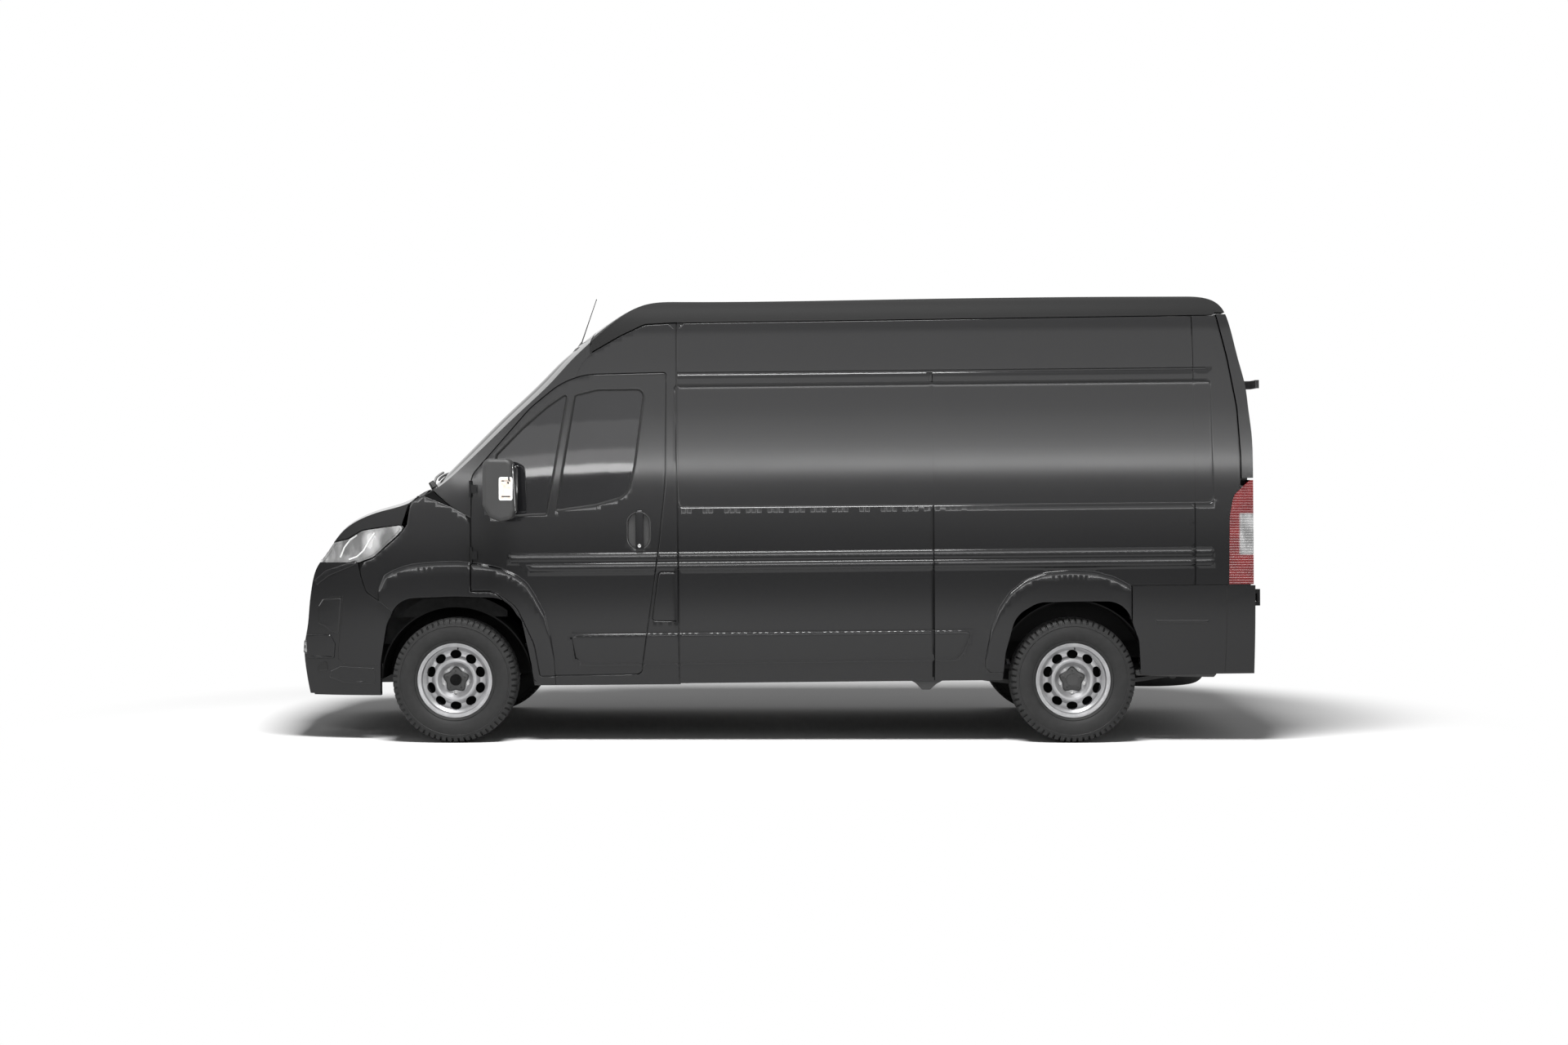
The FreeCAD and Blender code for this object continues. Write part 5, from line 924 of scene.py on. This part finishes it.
lamp_shells()
GUIDES = {
    "front": [(419, 682), (424, 670), (431, 661), (440, 655)],
    "rear": [(430, 684.5), (440, 681), (448, 674), (455, 662), (462, 652)],
}
turns = np.linspace(0, 2 * math.pi, 40, endpoint=False)
ROUND = np.column_stack([np.cos(turns), np.sin(turns)])
for name, side in SIDES:
    place = drape("headlamps", 1, side)
    for part, pixels in GUIDES.items():
        line = place(np.array([seen_at(px, py, -0.82) for px, py in pixels]), -0.007)
        tube(f"light_guide_{part}_{name}", line, 0.0045, "light_guide", "root", 8)
    place = drape("headlamps", 0, -1)
    ring = ROUND * 0.046 + [side * 0.70, 1.085]
    mould(f"projector_ring_{name}", ring, [(0, -12), (0, -4), (3, -2), (7, -4), (9, -12)], place,
          "lamp_dark", "root", capped=False)
    mould(f"projector_lens_{name}", ROUND * 0.037 + [side * 0.70, 1.085],
          [(0, -12), (4, -7), (12, -4), (24, -2.5), (34, -2)], place, "projector_glass", "root")


# Mirrors: the glass behind and the side indicator
for name, side in SIDES:
    mirror = f"mirror_{name}"
    place = drape(mirror, 1, side)
    low, high = seen_at(611.5, 612.5, -1.2), seen_at(627.5, 584.5, -1.2)
    mould(f"indicator_frame_{name}", capsule(low, high, 0.010), [(-1, -2), (-1, 0.4), (1, 0.9),
          (5, 0.8), (6, 0.2)], place, "light_guide", f"cab_door_{name}", capped=False)
    mould(f"indicator_lens_{name}", inset(capsule(low, high, 0.010), 0.005),
          [(0, -1), (0, 0.4), (2, 0.6), (8, 0.7)], place, "indicator_lens", f"cab_door_{name}")
    for k, share in enumerate((0.16, 0.84)):
        z = low[1] + (high[1] - low[1]) * share
        mould(f"indicator_bar_{k}_{name}", capsule((low[0] + 0.014, z - 0.0035),
              (high[0] - 0.010, z + 0.0035), 0.003, 0.001), [(0, 0), (0, 1.0), (1, 1.2)], place,
              "lamp_dark", f"cab_door_{name}")
    behind = drape(mirror, 0, 1)
    lower = min(side * 1.030, side * 1.196)
    upper = max(side * 1.030, side * 1.196)
    mould(f"mirror_glass_{name}", capsule((lower, 1.292), (upper, 1.552), 0.045),
          [(-6, -3), (-6, 1.5), (-4, 3.0), (-1, 3.0), (1, 0.6), (3, 0.5)], behind,
          "mirror_glass", f"cab_door_{name}")


# Wheels: a five-lobed cap, nuts, a valve and a black disc inside the rim, partly the brake's back
# plate and partly painted shade
def wheel_trim(corner, axle_x, side, body):
    centre = (axle_x, side * WHEEL_REACH, WHEEL_HEIGHT)
    place = drape(f"wheel_{corner}", 1, side)
    turns = np.linspace(0, 2 * math.pi, 100, endpoint=False)
    radius = 0.0655 + 0.0080 * np.cos(5 * turns)
    lobes = np.column_stack([centre[0] + radius * np.sin(turns),
                             centre[2] + radius * np.cos(turns)])
    face = float(place(np.array([[centre[0] + 0.066, centre[2]]]), 0.0)[0][1])
    flat = flat_place((0, face, 0), (1, 0, 0), (0, 0, 1), (0, side, 0))
    mould(f"hub_cap_{corner}", lobes, [(0, -4), (0, 5), (2, 9), (6, 11.5), (14, 13), (26, 13.5)],
          flat, "cap_black", body)
    small = ROUND * 0.027 + [centre[0], centre[2]]
    mould(f"hub_centre_{corner}", small, [(0, 11), (0, 16), (1.5, 17.5), (4, 17.5), (5, 16.2),
          (20, 16.6)], flat, "black_plastic", body)
    for k in range(5):
        angle = 2 * math.pi * (k + 0.5) / 5
        at = [centre[0] + 0.0700 * math.sin(angle), centre[2] + 0.0700 * math.cos(angle)]
        six = np.array([[math.cos(a), math.sin(a)] for a in np.arange(6) * math.pi / 3])
        mould(f"wheel_nut_{k}_{corner}", six * 0.0095 + at, [(-2.5, -2), (-2.5, 1), (0, 1.5),
              (0, 9), (1.5, 10.5)], flat, "dull_steel", body)
    at = np.array([centre[0] + 0.012, centre[2] + 0.181])
    tube(f"valve_{corner}", [(at[0], face - side * 0.012, at[1]),
         (at[0], face + side * 0.010, at[1] - 0.004), (at[0], face + side * 0.022, at[1] - 0.009)],
         [0.0055, 0.0045, 0.004], "seal_rubber", body, 10)
    # A black disc behind the spokes: painted shade in the rim's barrel, also standing for the
    # brake's back plate
    lathe(f"rim_shade_{corner}", [(0.118, -0.052), (0.186, -0.052), (0.186, -0.056),
          (0.118, -0.056), (0.118, -0.052)], centre, 60,
          "wheel_shade", body, side)


TYRE_REACH = 0.9055


def tyre(name, node, centre, body):
    """A road tyre: bulged walls with rings, block shoulders and a ribbed crown."""
    wall = [(0.205, 0.082), (0.212, 0.093), (0.222, 0.0985), (0.226, 0.0965), (0.236, 0.1035),
            (0.250, 0.1085), (0.268, 0.1115), (0.284, 0.1105), (0.296, 0.1080), (0.3015, 0.1066),
            (0.3035, 0.1086), (0.3075, 0.1084), (0.3095, 0.1060), (0.3185, 0.1040),
            (0.3200, 0.1036), (0.3300, 0.1008), (0.3385, 0.0950), (0.3435, 0.0880),
            (0.3460, 0.0800), (0.3470, 0.0700), (0.3472, 0.0602), (0.3473, 0.0600),
            (0.3400, 0.0590), (0.3400, 0.0510), (0.3476, 0.0500), (0.3478, 0.0380),
            (0.3479, 0.0242), (0.3479, 0.0240), (0.3405, 0.0230), (0.3405, 0.0150),
            (0.3480, 0.0140), (0.3480, 0.0060)]
    profile = np.array([(r, -y) for r, y in wall] + wall[::-1])
    inside = np.array([(0.330, 0.070), (0.230, 0.080), (0.205, 0.076)])
    profile = np.concatenate([profile, inside, inside[::-1] * [1, -1]])
    pitches = 62
    marks = np.array([0.0, 0.06, 0.30, 0.36, 0.68])
    shares = (np.arange(pitches)[:, None] + marks[None]).ravel()
    angles = shares * 2 * math.pi / pitches
    radius, reach = profile[:, 0][None], profile[:, 1][None]
    share = shares[:, None] + np.where(reach > 0, 0.5, 0.0)
    spot = share % 1.0
    crown = (radius > 0.3385) & (np.abs(reach) < 0.095)
    shoulder = (radius > 0.3190) & (np.abs(reach) > 0.062)
    cut = ((spot >= 0.05) & (spot < 0.31)) & shoulder
    rib = ((spot >= 0.35) & (spot < 0.5)) & crown & (np.abs(reach) < 0.058) & (radius > 0.345)
    drop = np.where(cut, 0.0085, 0.0) + np.where(rib, 0.004, 0.0)
    shrink = np.where(cut & (np.abs(reach) > 0.078), 0.0080, 0.0)
    r = radius - drop * np.ones_like(shares)[:, None]
    y = reach - np.sign(reach) * shrink
    x_all = centre[0] + r * np.cos(angles)[:, None]
    z_all = centre[2] + r * np.sin(angles)[:, None]
    y_all = centre[1] + y
    rings = [np.column_stack([x_all[:, k], y_all[:, k], z_all[:, k]])
             for k in range(profile.shape[0])]
    rings.append(rings[0])
    obj = add_mesh(name, np.concatenate(rings), stitched(rings), FINISHES["tyre_rubber"], 28.0)
    tidy_normals(obj)
    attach(obj, body)
    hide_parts(node)


for end, axle_x in (("front", FRONT_AXLE_X), ("rear", REAR_AXLE_X)):
    for name, side in SIDES:
        corner = f"{end}_{name}"
        body = f"wheel_{corner}"
        wheel_trim(corner, axle_x, side, body)
        tyre(f"road_tyre_{corner}", f"tyre_{corner}", (axle_x, side * TYRE_REACH, WHEEL_HEIGHT),
             body)


# The bumpers' joints, ducts, creases and trays, the jack brackets and the antenna
for name, side in SIDES:
    corner_joint = [seen_at(px, py, -0.88) for px, py in
                    ((392, 735), (405, 731.5), (420, 730), (418, 760), (413, 795), (413, 808),
                     (420, 813), (440, 814.5), (461, 815))]
    drawn_line(f"bumper_joint_{name}", "front_bumper", 1, side, corner_joint, 0.0016)
    place = drape("front_bumper", 1, side)
    duct = seen_outline([(389, 821), (393, 812), (403, 808), (404, 820)], -0.75, 0.012)
    mould(f"bumper_duct_{name}", duct, [(-2, -0.5), (-1, 2.0), (2, 2.2), (4, 0.8), (6, 0.6)],
          place, "seal_rubber", "root")
    place = drape("rear_bumper", 1, side)
    crease = capsule(seen_at(1416, 763, -1.03), seen_at(1481, 759, -1.03), 0.006)
    mould(f"bumper_crease_{name}", crease, [(-2, -0.5), (0, 1.2), (3, 2.6), (7, 3.0)], place,
          "body_paint", "root")
    joint_x = seen_at(1502.5, 770, -1.02)[0]
    drawn_line(f"rear_bumper_joint_{name}", "rear_bumper", 1, side,
               [(joint_x, 0.875), (joint_x + 0.002, 0.64), (joint_x, 0.395)], 0.0018)
    tray = flat_place((0, side * 0.93, 0), (1, 0, 0), (0, 0, 1), (0, side, 0))
    shape = rounded([(2.030, 0.400, 0.004), (2.030, 0.372, 0.010), (2.300, 0.364, 0.010),
                     (2.470, 0.362, 0.010), (2.500, 0.400, 0.004)], 0.003, 0.03)
    mould(f"bumper_tray_{name}", shape, [(0, -60), (0, 0), (2, 2), (6, 2.4)], tray,
          "black_plastic", "root")
    jack = flat_place((0, side * 0.90, 0), (1, 0, 0), (0, 0, 1), (0, side, 0))
    shape = rounded([(0.765, 0.345, 0.003), (0.800, 0.325, 0.010), (0.835, 0.288, 0.014),
                     (0.880, 0.288, 0.014), (0.915, 0.320, 0.010), (0.960, 0.345, 0.003)],
                    0.003, 0.02)
    mould(f"jack_bracket_{name}", shape, [(0, -6), (0, 0), (1, 1)], jack, "chassis_black",
          "root")


def antenna():
    top_x, top_z = seen_at(731, 367, -0.45)
    foot_x, foot_z = seen_at(710, 428, -0.45)
    hit, where, normal, face = NODES["roof_panel"].ray_cast(
        NODES["roof_panel"].matrix_world.inverted() @ Vector((foot_x + 0.03, -0.45, 4.0)),
        Vector((0, 0, -1)))
    foot = Vector((foot_x, -0.45, foot_z))
    if hit:
        foot = NODES["roof_panel"].matrix_world @ where
    top = Vector((top_x, -0.45, top_z))
    way = (top - foot).normalized()
    marks = [foot - way * 0.004, foot + way * 0.012, foot + way * 0.030, foot + way * 0.045,
             foot + (top - foot) * 0.6, top - way * 0.010, top]
    tube("antenna", marks, [0.016, 0.014, 0.0085, 0.0035, 0.0026, 0.0022, 0.0030],
         "black_plastic", "root", 12)


antenna()


# The rear plate, handle, lamps and step, and the wipers
def slab_on(name, node, axis, sign, low, high, radius, profile, material, body):
    return mould(name, capsule(low, high, radius), profile, drape(node, axis, sign), material,
                 body)


PLATE = [(0, -2), (0, 3), (1, 4.5), (4, 4.8), (6, 3.6), (20, 3.6)]
HOLDER = [(-6, -3), (-6, 1.5), (-4, 2.6), (10, 2.8)]
slab_on("rear_plate_holder", "rear_door_left", 0, 1, (-0.64, 0.955), (-0.12, 1.065), 0.008,
        HOLDER, "black_plastic", "rear_door_left")
slab_on("rear_plate", "rear_door_left", 0, 1, (-0.64, 0.955), (-0.12, 1.065), 0.006,
        PLATE, "plate_blank", "rear_door_left")
slab_on("plate_lamp_bar", "rear_door_left", 0, 1, (-0.56, 1.085), (-0.20, 1.118), 0.008,
        [(0, -3), (0, 6), (3, 13), (8, 16), (14, 16.5)], "black_plastic", "rear_door_left")
slab_on("rear_handle_base", "rear_door_right", 0, 1, (0.022, 1.000), (0.082, 1.215), 0.014,
        [(0, -3), (0, 4), (3, 7), (7, 7.4), (10, 3.5), (20, 3.0)], "black_plastic",
        "rear_door_right")
slab_on("rear_handle_grip", "rear_door_right", 0, 1, (0.040, 1.030), (0.064, 1.165), 0.008,
        [(0, 0), (0, 14), (3, 19), (7, 21)], "trim_gloss", "rear_door_right")
slab_on("rear_lock", "rear_door_right", 0, 1, (0.042, 1.180), (0.062, 1.200), 0.0099,
        [(0, 2), (0, 7), (2, 8.5), (6, 8.5)], "dull_steel", "rear_door_right")
slab_on("high_stop_lamp", "roof_panel", 0, 1, (-0.17, 2.405), (0.17, 2.440), 0.010,
        [(-5, -4), (-5, 2), (-2, 5), (1, 4), (4, 6), (10, 7)], "stop_red", "root")
for side, name in ((-1, "left"), (1, "right")):
    slab_on(f"rear_reflector_{name}", "rear_bumper", 0, 1,
            (min(side * 0.70, side * 0.86), 0.600), (max(side * 0.70, side * 0.86), 0.640), 0.010,
            [(0, -2), (0, 3), (2, 4.5), (6, 5)], "stop_red", "root")
for k in range(7):
    y = -0.60 + 0.20 * k
    slab_on(f"step_rib_{k}", "rear_bumper", 2, 1, (2.615, y - 0.085), (2.680, y + 0.085), 0.012,
            [(0, -2), (0, 1.5), (2, 3), (8, 3.2)], "seal_rubber", "root")


def wiper(name, foot, elbow, tip, blade_from, blade_to):
    place = drape("windscreen", 0, -1)

    def run(points, heights):
        dense, lifts = [], []
        for k in range(len(points) - 1):
            for share in np.linspace(0, 1, 6, endpoint=False):
                a, b = np.array(points[k]), np.array(points[k + 1])
                dense.append(a + (b - a) * share)
                lifts.append(heights[k] + (heights[k + 1] - heights[k]) * share)
        dense.append(np.array(points[-1]))
        lifts.append(heights[-1])
        return [place(np.array([p]), h)[0] for p, h in zip(dense, lifts)]

    tube(f"wiper_arm_{name}", run([foot, elbow, tip], [0.012, 0.030, 0.030]),
         [0.011] * 3 + [0.007] * 10, "trim_gloss", "root", 10)
    tube(f"wiper_blade_{name}", run([blade_from, tip, blade_to], [0.010, 0.012, 0.010]),
         [0.004] + [0.007] * 11 + [0.004], "seal_rubber", "root", 8)
    hub = place(np.array([foot]), 0.0)[0]
    tube(f"wiper_hub_{name}", [hub, hub + [-0.020, 0, 0.030]], [0.020, 0.016], "trim_gloss",
         "root", 16)


wiper("left", (-0.70, 1.425), (-0.55, 1.455), (-0.20, 1.485), (-0.62, 1.455), (0.10, 1.505))
wiper("right", (0.02, 1.420), (0.20, 1.450), (0.48, 1.480), (0.14, 1.448), (0.72, 1.492))


# Seats: crowned cushions swollen by cloth, with sewn channels, on plain bases
CLOTH_GRID = 0.014
CLOTH_FRAMES = 12
SWELL_MOST = 0.024
SEAM_WIDTH = 0.011


def soft_box(name, low, high, crown, seams):
    """A rounded block whose faces swell under pressure, then pulled in along its seams."""
    low, high = np.array(low, float), np.array(high, float)
    model = bmesh.new()
    bmesh.ops.create_cube(model, size=1.0)
    for v in model.verts:
        v.co = Vector(low + (np.array(v.co) + 0.5) * (high - low))
    centre = Vector((low + high) / 2)
    for v in model.verts:
        v.co += (centre - v.co).normalized() * crown
    bmesh.ops.bevel(model, geom=list(model.edges), offset=min(high - low) * 0.30, segments=4,
                    profile=0.6, affect="EDGES")
    mesh = bpy.data.meshes.new(name)
    model.to_mesh(mesh)
    model.free()
    mesh.materials.append(FINISHES["seat_cloth"])
    obj = bpy.data.objects.new(name, mesh)
    scene.collection.objects.link(obj)
    bpy.context.view_layer.objects.active = obj
    for other in bpy.context.selected_objects:
        other.select_set(False)
    obj.select_set(True)
    remesh = obj.modifiers.new("remesh", "REMESH")
    remesh.mode = "VOXEL"
    remesh.voxel_size = CLOTH_GRID
    bpy.ops.object.modifier_apply(modifier="remesh")
    before = np.array([tuple(v.co) for v in obj.data.vertices])
    cloth = obj.modifiers.new("cloth", "CLOTH")
    cloth.settings.quality = 5
    cloth.settings.use_pressure = True
    cloth.settings.uniform_pressure_force = 4.0
    cloth.settings.effector_weights.gravity = 0.0
    cloth.settings.tension_stiffness = 12
    cloth.settings.compression_stiffness = 12
    cloth.collision_settings.use_collision = False
    for number in range(1, CLOTH_FRAMES + 1):
        scene.frame_set(number)
    bpy.ops.object.modifier_apply(modifier="cloth")
    scene.frame_set(1)
    after = np.array([tuple(v.co) for v in obj.data.vertices])
    move = after - before
    long = np.linalg.norm(move, axis=1)[:, None]
    move *= np.minimum(1, SWELL_MOST / np.maximum(long, 1e-9))
    before = before + move
    seats_place(obj, before, seams, low, high)
    smooth = obj.modifiers.new("smooth", "SUBSURF")
    smooth.levels = smooth.render_levels = 1
    bpy.ops.object.modifier_apply(modifier="smooth")
    obj.data.shade_smooth()
    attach(obj, "root")
    return obj


def seats_place(obj, points, seams, low, high):
    """Keeps the cushion in its block, pulls its seams in and leans it with the body."""
    points = np.clip(points, low + 0.001, high - 0.001)
    centre = (low + high) / 2
    for axis, at, depth in seams:
        near = np.exp(-((points[:, axis] - at) / SEAM_WIDTH) ** 2)[:, None]
        away = points - centre
        away[:, axis] = 0
        away /= np.maximum(np.linalg.norm(away, axis=1), 1e-6)[:, None]
        points = points - away * near * depth
    points = to_world(points)
    for v, p in zip(obj.data.vertices, points):
        v.co = Vector(p)
    obj.data.update()


SEAT_X = NOSE_X + 0.60 * BODY_HEIGHT
seat_pieces = []
for name, low_y, high_y, heads in (("driver", -0.690, -0.210, 1), ("bench", -0.160, 0.690, 2)):
    width = high_y - low_y
    splits = [(1, low_y + width * k / heads, 0.016) for k in range(1, heads)]
    sides = [(1, low_y + width * (k + s) / heads, 0.007) for k in range(heads)
             for s in (0.17, 0.83)]
    cushion = soft_box(f"{name}_cushion", (SEAT_X, low_y, 0.800), (SEAT_X + 0.50, high_y, 0.930),
                       0.012, splits + sides + [(0, SEAT_X + 0.13, 0.005)])
    back = soft_box(f"{name}_back", (SEAT_X + 0.42, low_y, 0.920),
                    (SEAT_X + 0.545, high_y, 1.535), 0.012,
                    splits + sides + [(2, 1.12, 0.006), (2, 1.40, 0.006)])
    seat_pieces += [cushion, back]
    for k in range(heads):
        middle = low_y + width * (k + 0.5) / heads
        head = soft_box(f"{name}_headrest_{k}", (SEAT_X + 0.455, middle - 0.125, 1.560),
                        (SEAT_X + 0.545, middle + 0.125, 1.728), 0.006, [])
        seat_pieces.append(head)
        for s in (-0.06, 0.06):
            post = [(SEAT_X + 0.50, middle + s, 1.50), (SEAT_X + 0.50, middle + s, 1.60)]
            tube(f"{name}_post_{k}_{'a' if s < 0 else 'b'}", to_world(np.array(post)), 0.006,
                 "dull_steel", "root", 12)
    base_place = flat_place((0, 0, 0.56), (1, 0, 0), (0, 1, 0), (0, 0, 1))
    base = capsule((SEAT_X + 0.045, low_y + 0.045), (SEAT_X + 0.435, high_y - 0.045), 0.03)
    mould(f"{name}_base", base, [(0, 0), (0, 190), (6, 232), (20, 236)], base_place,
          "black_plastic", "root")
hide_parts("seats")


# The front bumper's pressed forms, the windscreen's black border, the plate and fog lamps
BUMPER_FORMS = {
    "ledge": ([(384, 711), (400, 698), (438, 685.5), (440, 690), (404, 705), (388, 717)], 0.005,
              [(0, -3), (0.5, 1.6), (3, 4.0), (8, 4.4)]),
    "plate": ([(390, 742), (396, 733), (420, 731), (416, 776), (404, 773), (398, 767),
               (389, 764)], 0.012, [(0, -3), (0.5, 1.2), (3, 3.2), (10, 3.8)]),
    "step": ([(373, 777), (405, 777), (411, 788), (409, 806), (374, 807)], 0.008,
             [(0, -6), (0, 4.0), (3, 8.0), (9, 9.0)]),
    "lip": ([(404, 822), (418, 815.5), (460, 817), (461, 838), (420, 836), (402, 830)], 0.008,
            [(0, -3), (0.5, 1.0), (3, 2.6), (10, 3.0)]),
}
for name, side in SIDES:
    place = drape("front_bumper", 1, side)
    for form, (pixels, radius, profile) in BUMPER_FORMS.items():
        shape = seen_outline(pixels, -0.84, radius, 0.003, 0.012)
        mould(f"bumper_{form}_{name}", shape, profile, place, "body_paint", "root")


def screen_border():
    source = NODES["windscreen"]
    spots = {(round(p.y, 3), round(p.z, 3)) for p in
             (source.matrix_world @ v.co for v in source.data.vertices)}
    spots = [Vector(p) for p in spots]
    hull = [spots[i] for i in mathutils.geometry.convex_hull_2d(spots)]
    outline = rounded([(p.x, p.y, 0.0) for p in hull], 0.01, 0.03)
    place = drape("windscreen", 0, -1)
    ring = inset(outline, 0.012)
    profiles = [(-11, -2.0), (-11, 1.0), (-6, 2.4), (0, 2.2), (6, 1.4), (10, 0.9), (44, 0.7)]
    base = place(ring, 0.0)
    middle = base.mean(axis=0)
    tangent = np.roll(base, -1, axis=0) - np.roll(base, 1, axis=0)
    tangent /= np.linalg.norm(tangent, axis=1)[:, None]
    slope = np.cross(tangent, base - middle)
    up_way = slope.mean(axis=0) / np.linalg.norm(slope.mean(axis=0))
    if up_way[0] > 0:
        up_way = -up_way
    inward = np.cross(tangent, up_way)
    inward *= np.sign(((middle - base) * inward).sum(1))[:, None]
    rings = [base + inward * d * MM + up_way * h * MM for d, h in profiles]
    obj = add_mesh("screen_border", np.concatenate(rings), stitched(rings),
                   FINISHES["seal_rubber"])
    fitted(obj, "root")


screen_border()


middle = np.column_stack([np.zeros(5), np.linspace(0.682, 0.796, 5)])
ahead = drape("front_bumper", 0, -1)(middle, 0.0)[:, 0].min()
front = flat_place((ahead, 0, 0), (0, 1, 0), (0, 0, 1), (-1, 0, 0))
mould("front_plate_holder", capsule((-0.262, 0.682), (0.262, 0.796), 0.010),
      [(-6, -26)] + HOLDER[1:], front, "black_plastic", "root")
mould("front_plate", capsule((-0.262, 0.682), (0.262, 0.796), 0.006), PLATE, front,
      "plate_blank", "root")
for name, side in SIDES:
    y = side * 0.815
    ring = ROUND * 0.036 + [y, 0.520]
    mould(f"fog_lamp_ring_{name}", ring, [(-7, -2), (-6, 3), (-2, 5), (1, 3), (2, 0.5)],
          drape("front_bumper", 0, -1), "trim_gloss", "root", capped=False)
    mould(f"fog_lamp_{name}", ROUND * 0.034 + [y, 0.520], [(0, 0), (0, 1.5), (8, 3.2), (24, 4)],
          drape("front_bumper", 0, -1), "projector_glass", "root")


# Floor, lamps, world and camera
FLOOR_HALF = 60.0
CLEAR_FROM, CLEAR_TO = 3.5, 4.6
FLOOR_SHAPE = (1.0, 1.28, 1.0)
FLOOR_SHIFT = (0.0, -0.35, 0.0)
WORLD_LEVEL = 0.22
SENSOR_WIDTH = 36
VAN_MIDDLE = (0, 0, 1.4)
# Name, place, what it faces, width, depth and power of each lamp
KEY = ("key", (-0.2, -4.0, 8.6), (0, 0, 0), 3.6, 2.4, 1250)
BANDS = [(name, (0, -21, level), (0, 0, 1.6), 44.0, depth, power)
         for name, level, depth, power in (
             ("band_foot", 3.66, 0.4, 980), ("band_low", 4.16, 0.6, 400),
             ("band_middle", 4.96, 1.0, 300), ("band_high", 6.46, 2.0, 330),
             ("band_top", 9.1, 3.3, 440))]
NOSE_BAND = ("nose_band", (-21, 3, 5.0), VAN_MIDDLE, 26.0, 3.2, 420)
AROUND = [("front_fill", (-12, -3, 4.0), VAN_MIDDLE, 6.0, 4.0, 260),
          ("far_band", (0, 19, 15.0), VAN_MIDDLE, 44.0, 3.4, 1300),
          ("back_band", (21, 2, 5.0), VAN_MIDDLE, 26.0, 3.2, 520)]


def make_floor():
    """A pale floor that keeps the van's shadow and fades into the white beyond."""
    bpy.ops.mesh.primitive_plane_add(size=2 * FLOOR_HALF, location=(0, 0, 0))
    floor = bpy.context.object
    floor.name = "floor_plane"
    material, tree, shader = new_material("pale_floor")
    set_inputs(shader, {"Base Color": grey(0.92), "Roughness": 0.9, "Specular IOR Level": 0.0})
    shape = add_node(tree, "Mapping", {"Vector": coordinates(tree), "Location": FLOOR_SHIFT,
                                       "Scale": FLOOR_SHAPE})
    spread = add_node(tree, "VectorMath", {0: shape.outputs["Vector"]}, operation="LENGTH")
    fade = remap(tree, spread.outputs["Value"], 0.0, 1.0, CLEAR_FROM, CLEAR_TO, "SMOOTHSTEP")
    ray = add_node(tree, "LightPath").outputs
    mix = add_node(tree, "MixShader", {
        "Fac": calculate(tree, "MULTIPLY", ray["Is Camera Ray"], fade),
        1: shader.outputs["BSDF"], 2: add_node(tree, "Emission").outputs["Emission"]})
    set_inputs(tree.nodes["Material Output"], {"Surface": mix.outputs["Shader"]})
    floor.data.materials.append(material)


def make_world():
    world = bpy.data.worlds.new("studio")
    world.use_nodes = True
    tree = world.node_tree
    background = tree.nodes["Background"]
    ray = add_node(tree, "LightPath").outputs
    mirrored = calculate(tree, "ADD", ray["Is Glossy Ray"], ray["Is Transmission Ray"])
    seen = calculate(tree, "ADD", ray["Is Camera Ray"], mirrored, use_clamp=True)
    set_inputs(background, {"Color": grey(1.0), "Strength": remap(tree, seen, WORLD_LEVEL, 1.0)})
    scene.world = world


def lamp(name, place, target, width, depth, power, left_out=None):
    data = bpy.data.lights.new(name, "AREA")
    data.shape = "RECTANGLE"
    data.size = width
    data.size_y = depth
    data.energy = power
    obj = bpy.data.objects.new(name, data)
    scene.collection.objects.link(obj)
    obj.location = place
    obj.rotation_euler = (Vector(target) - Vector(place)).to_track_quat("-Z", "Y").to_euler()
    obj.light_linking.receiver_collection = left_out


def unlit(name, *pieces):
    """A collection of pieces that a lamp leaves out."""
    collection = bpy.data.collections.new(name)
    for piece in pieces:
        collection.objects.link(piece)
    for row in collection.collection_objects:
        row.light_linking.link_state = "EXCLUDE"
    return collection


def make_camera():
    data = bpy.data.cameras.new("camera")
    data.sensor_width = SENSOR_WIDTH
    data.lens = FOCAL_PIXELS / PHOTO_WIDTH * data.sensor_width
    camera = bpy.data.objects.new("camera", data)
    scene.collection.objects.link(camera)
    camera.location = CAMERA_PLACE
    camera.rotation_euler = (math.radians(90) - CAMERA_DOWN, 0, 0)
    scene.camera = camera


make_floor()
make_world()
floor_plane = bpy.data.objects["floor_plane"]
no_floor = unlit("left_out_of_bands", floor_plane)
no_screen = unlit("left_out_of_far_lamps", floor_plane, NODES["windscreen"])
lamp(*KEY)
for row in BANDS + [NOSE_BAND]:
    lamp(*row, no_floor)
for row in AROUND:
    lamp(*row, no_screen)
make_camera()
scene.view_settings.view_transform = "Standard"
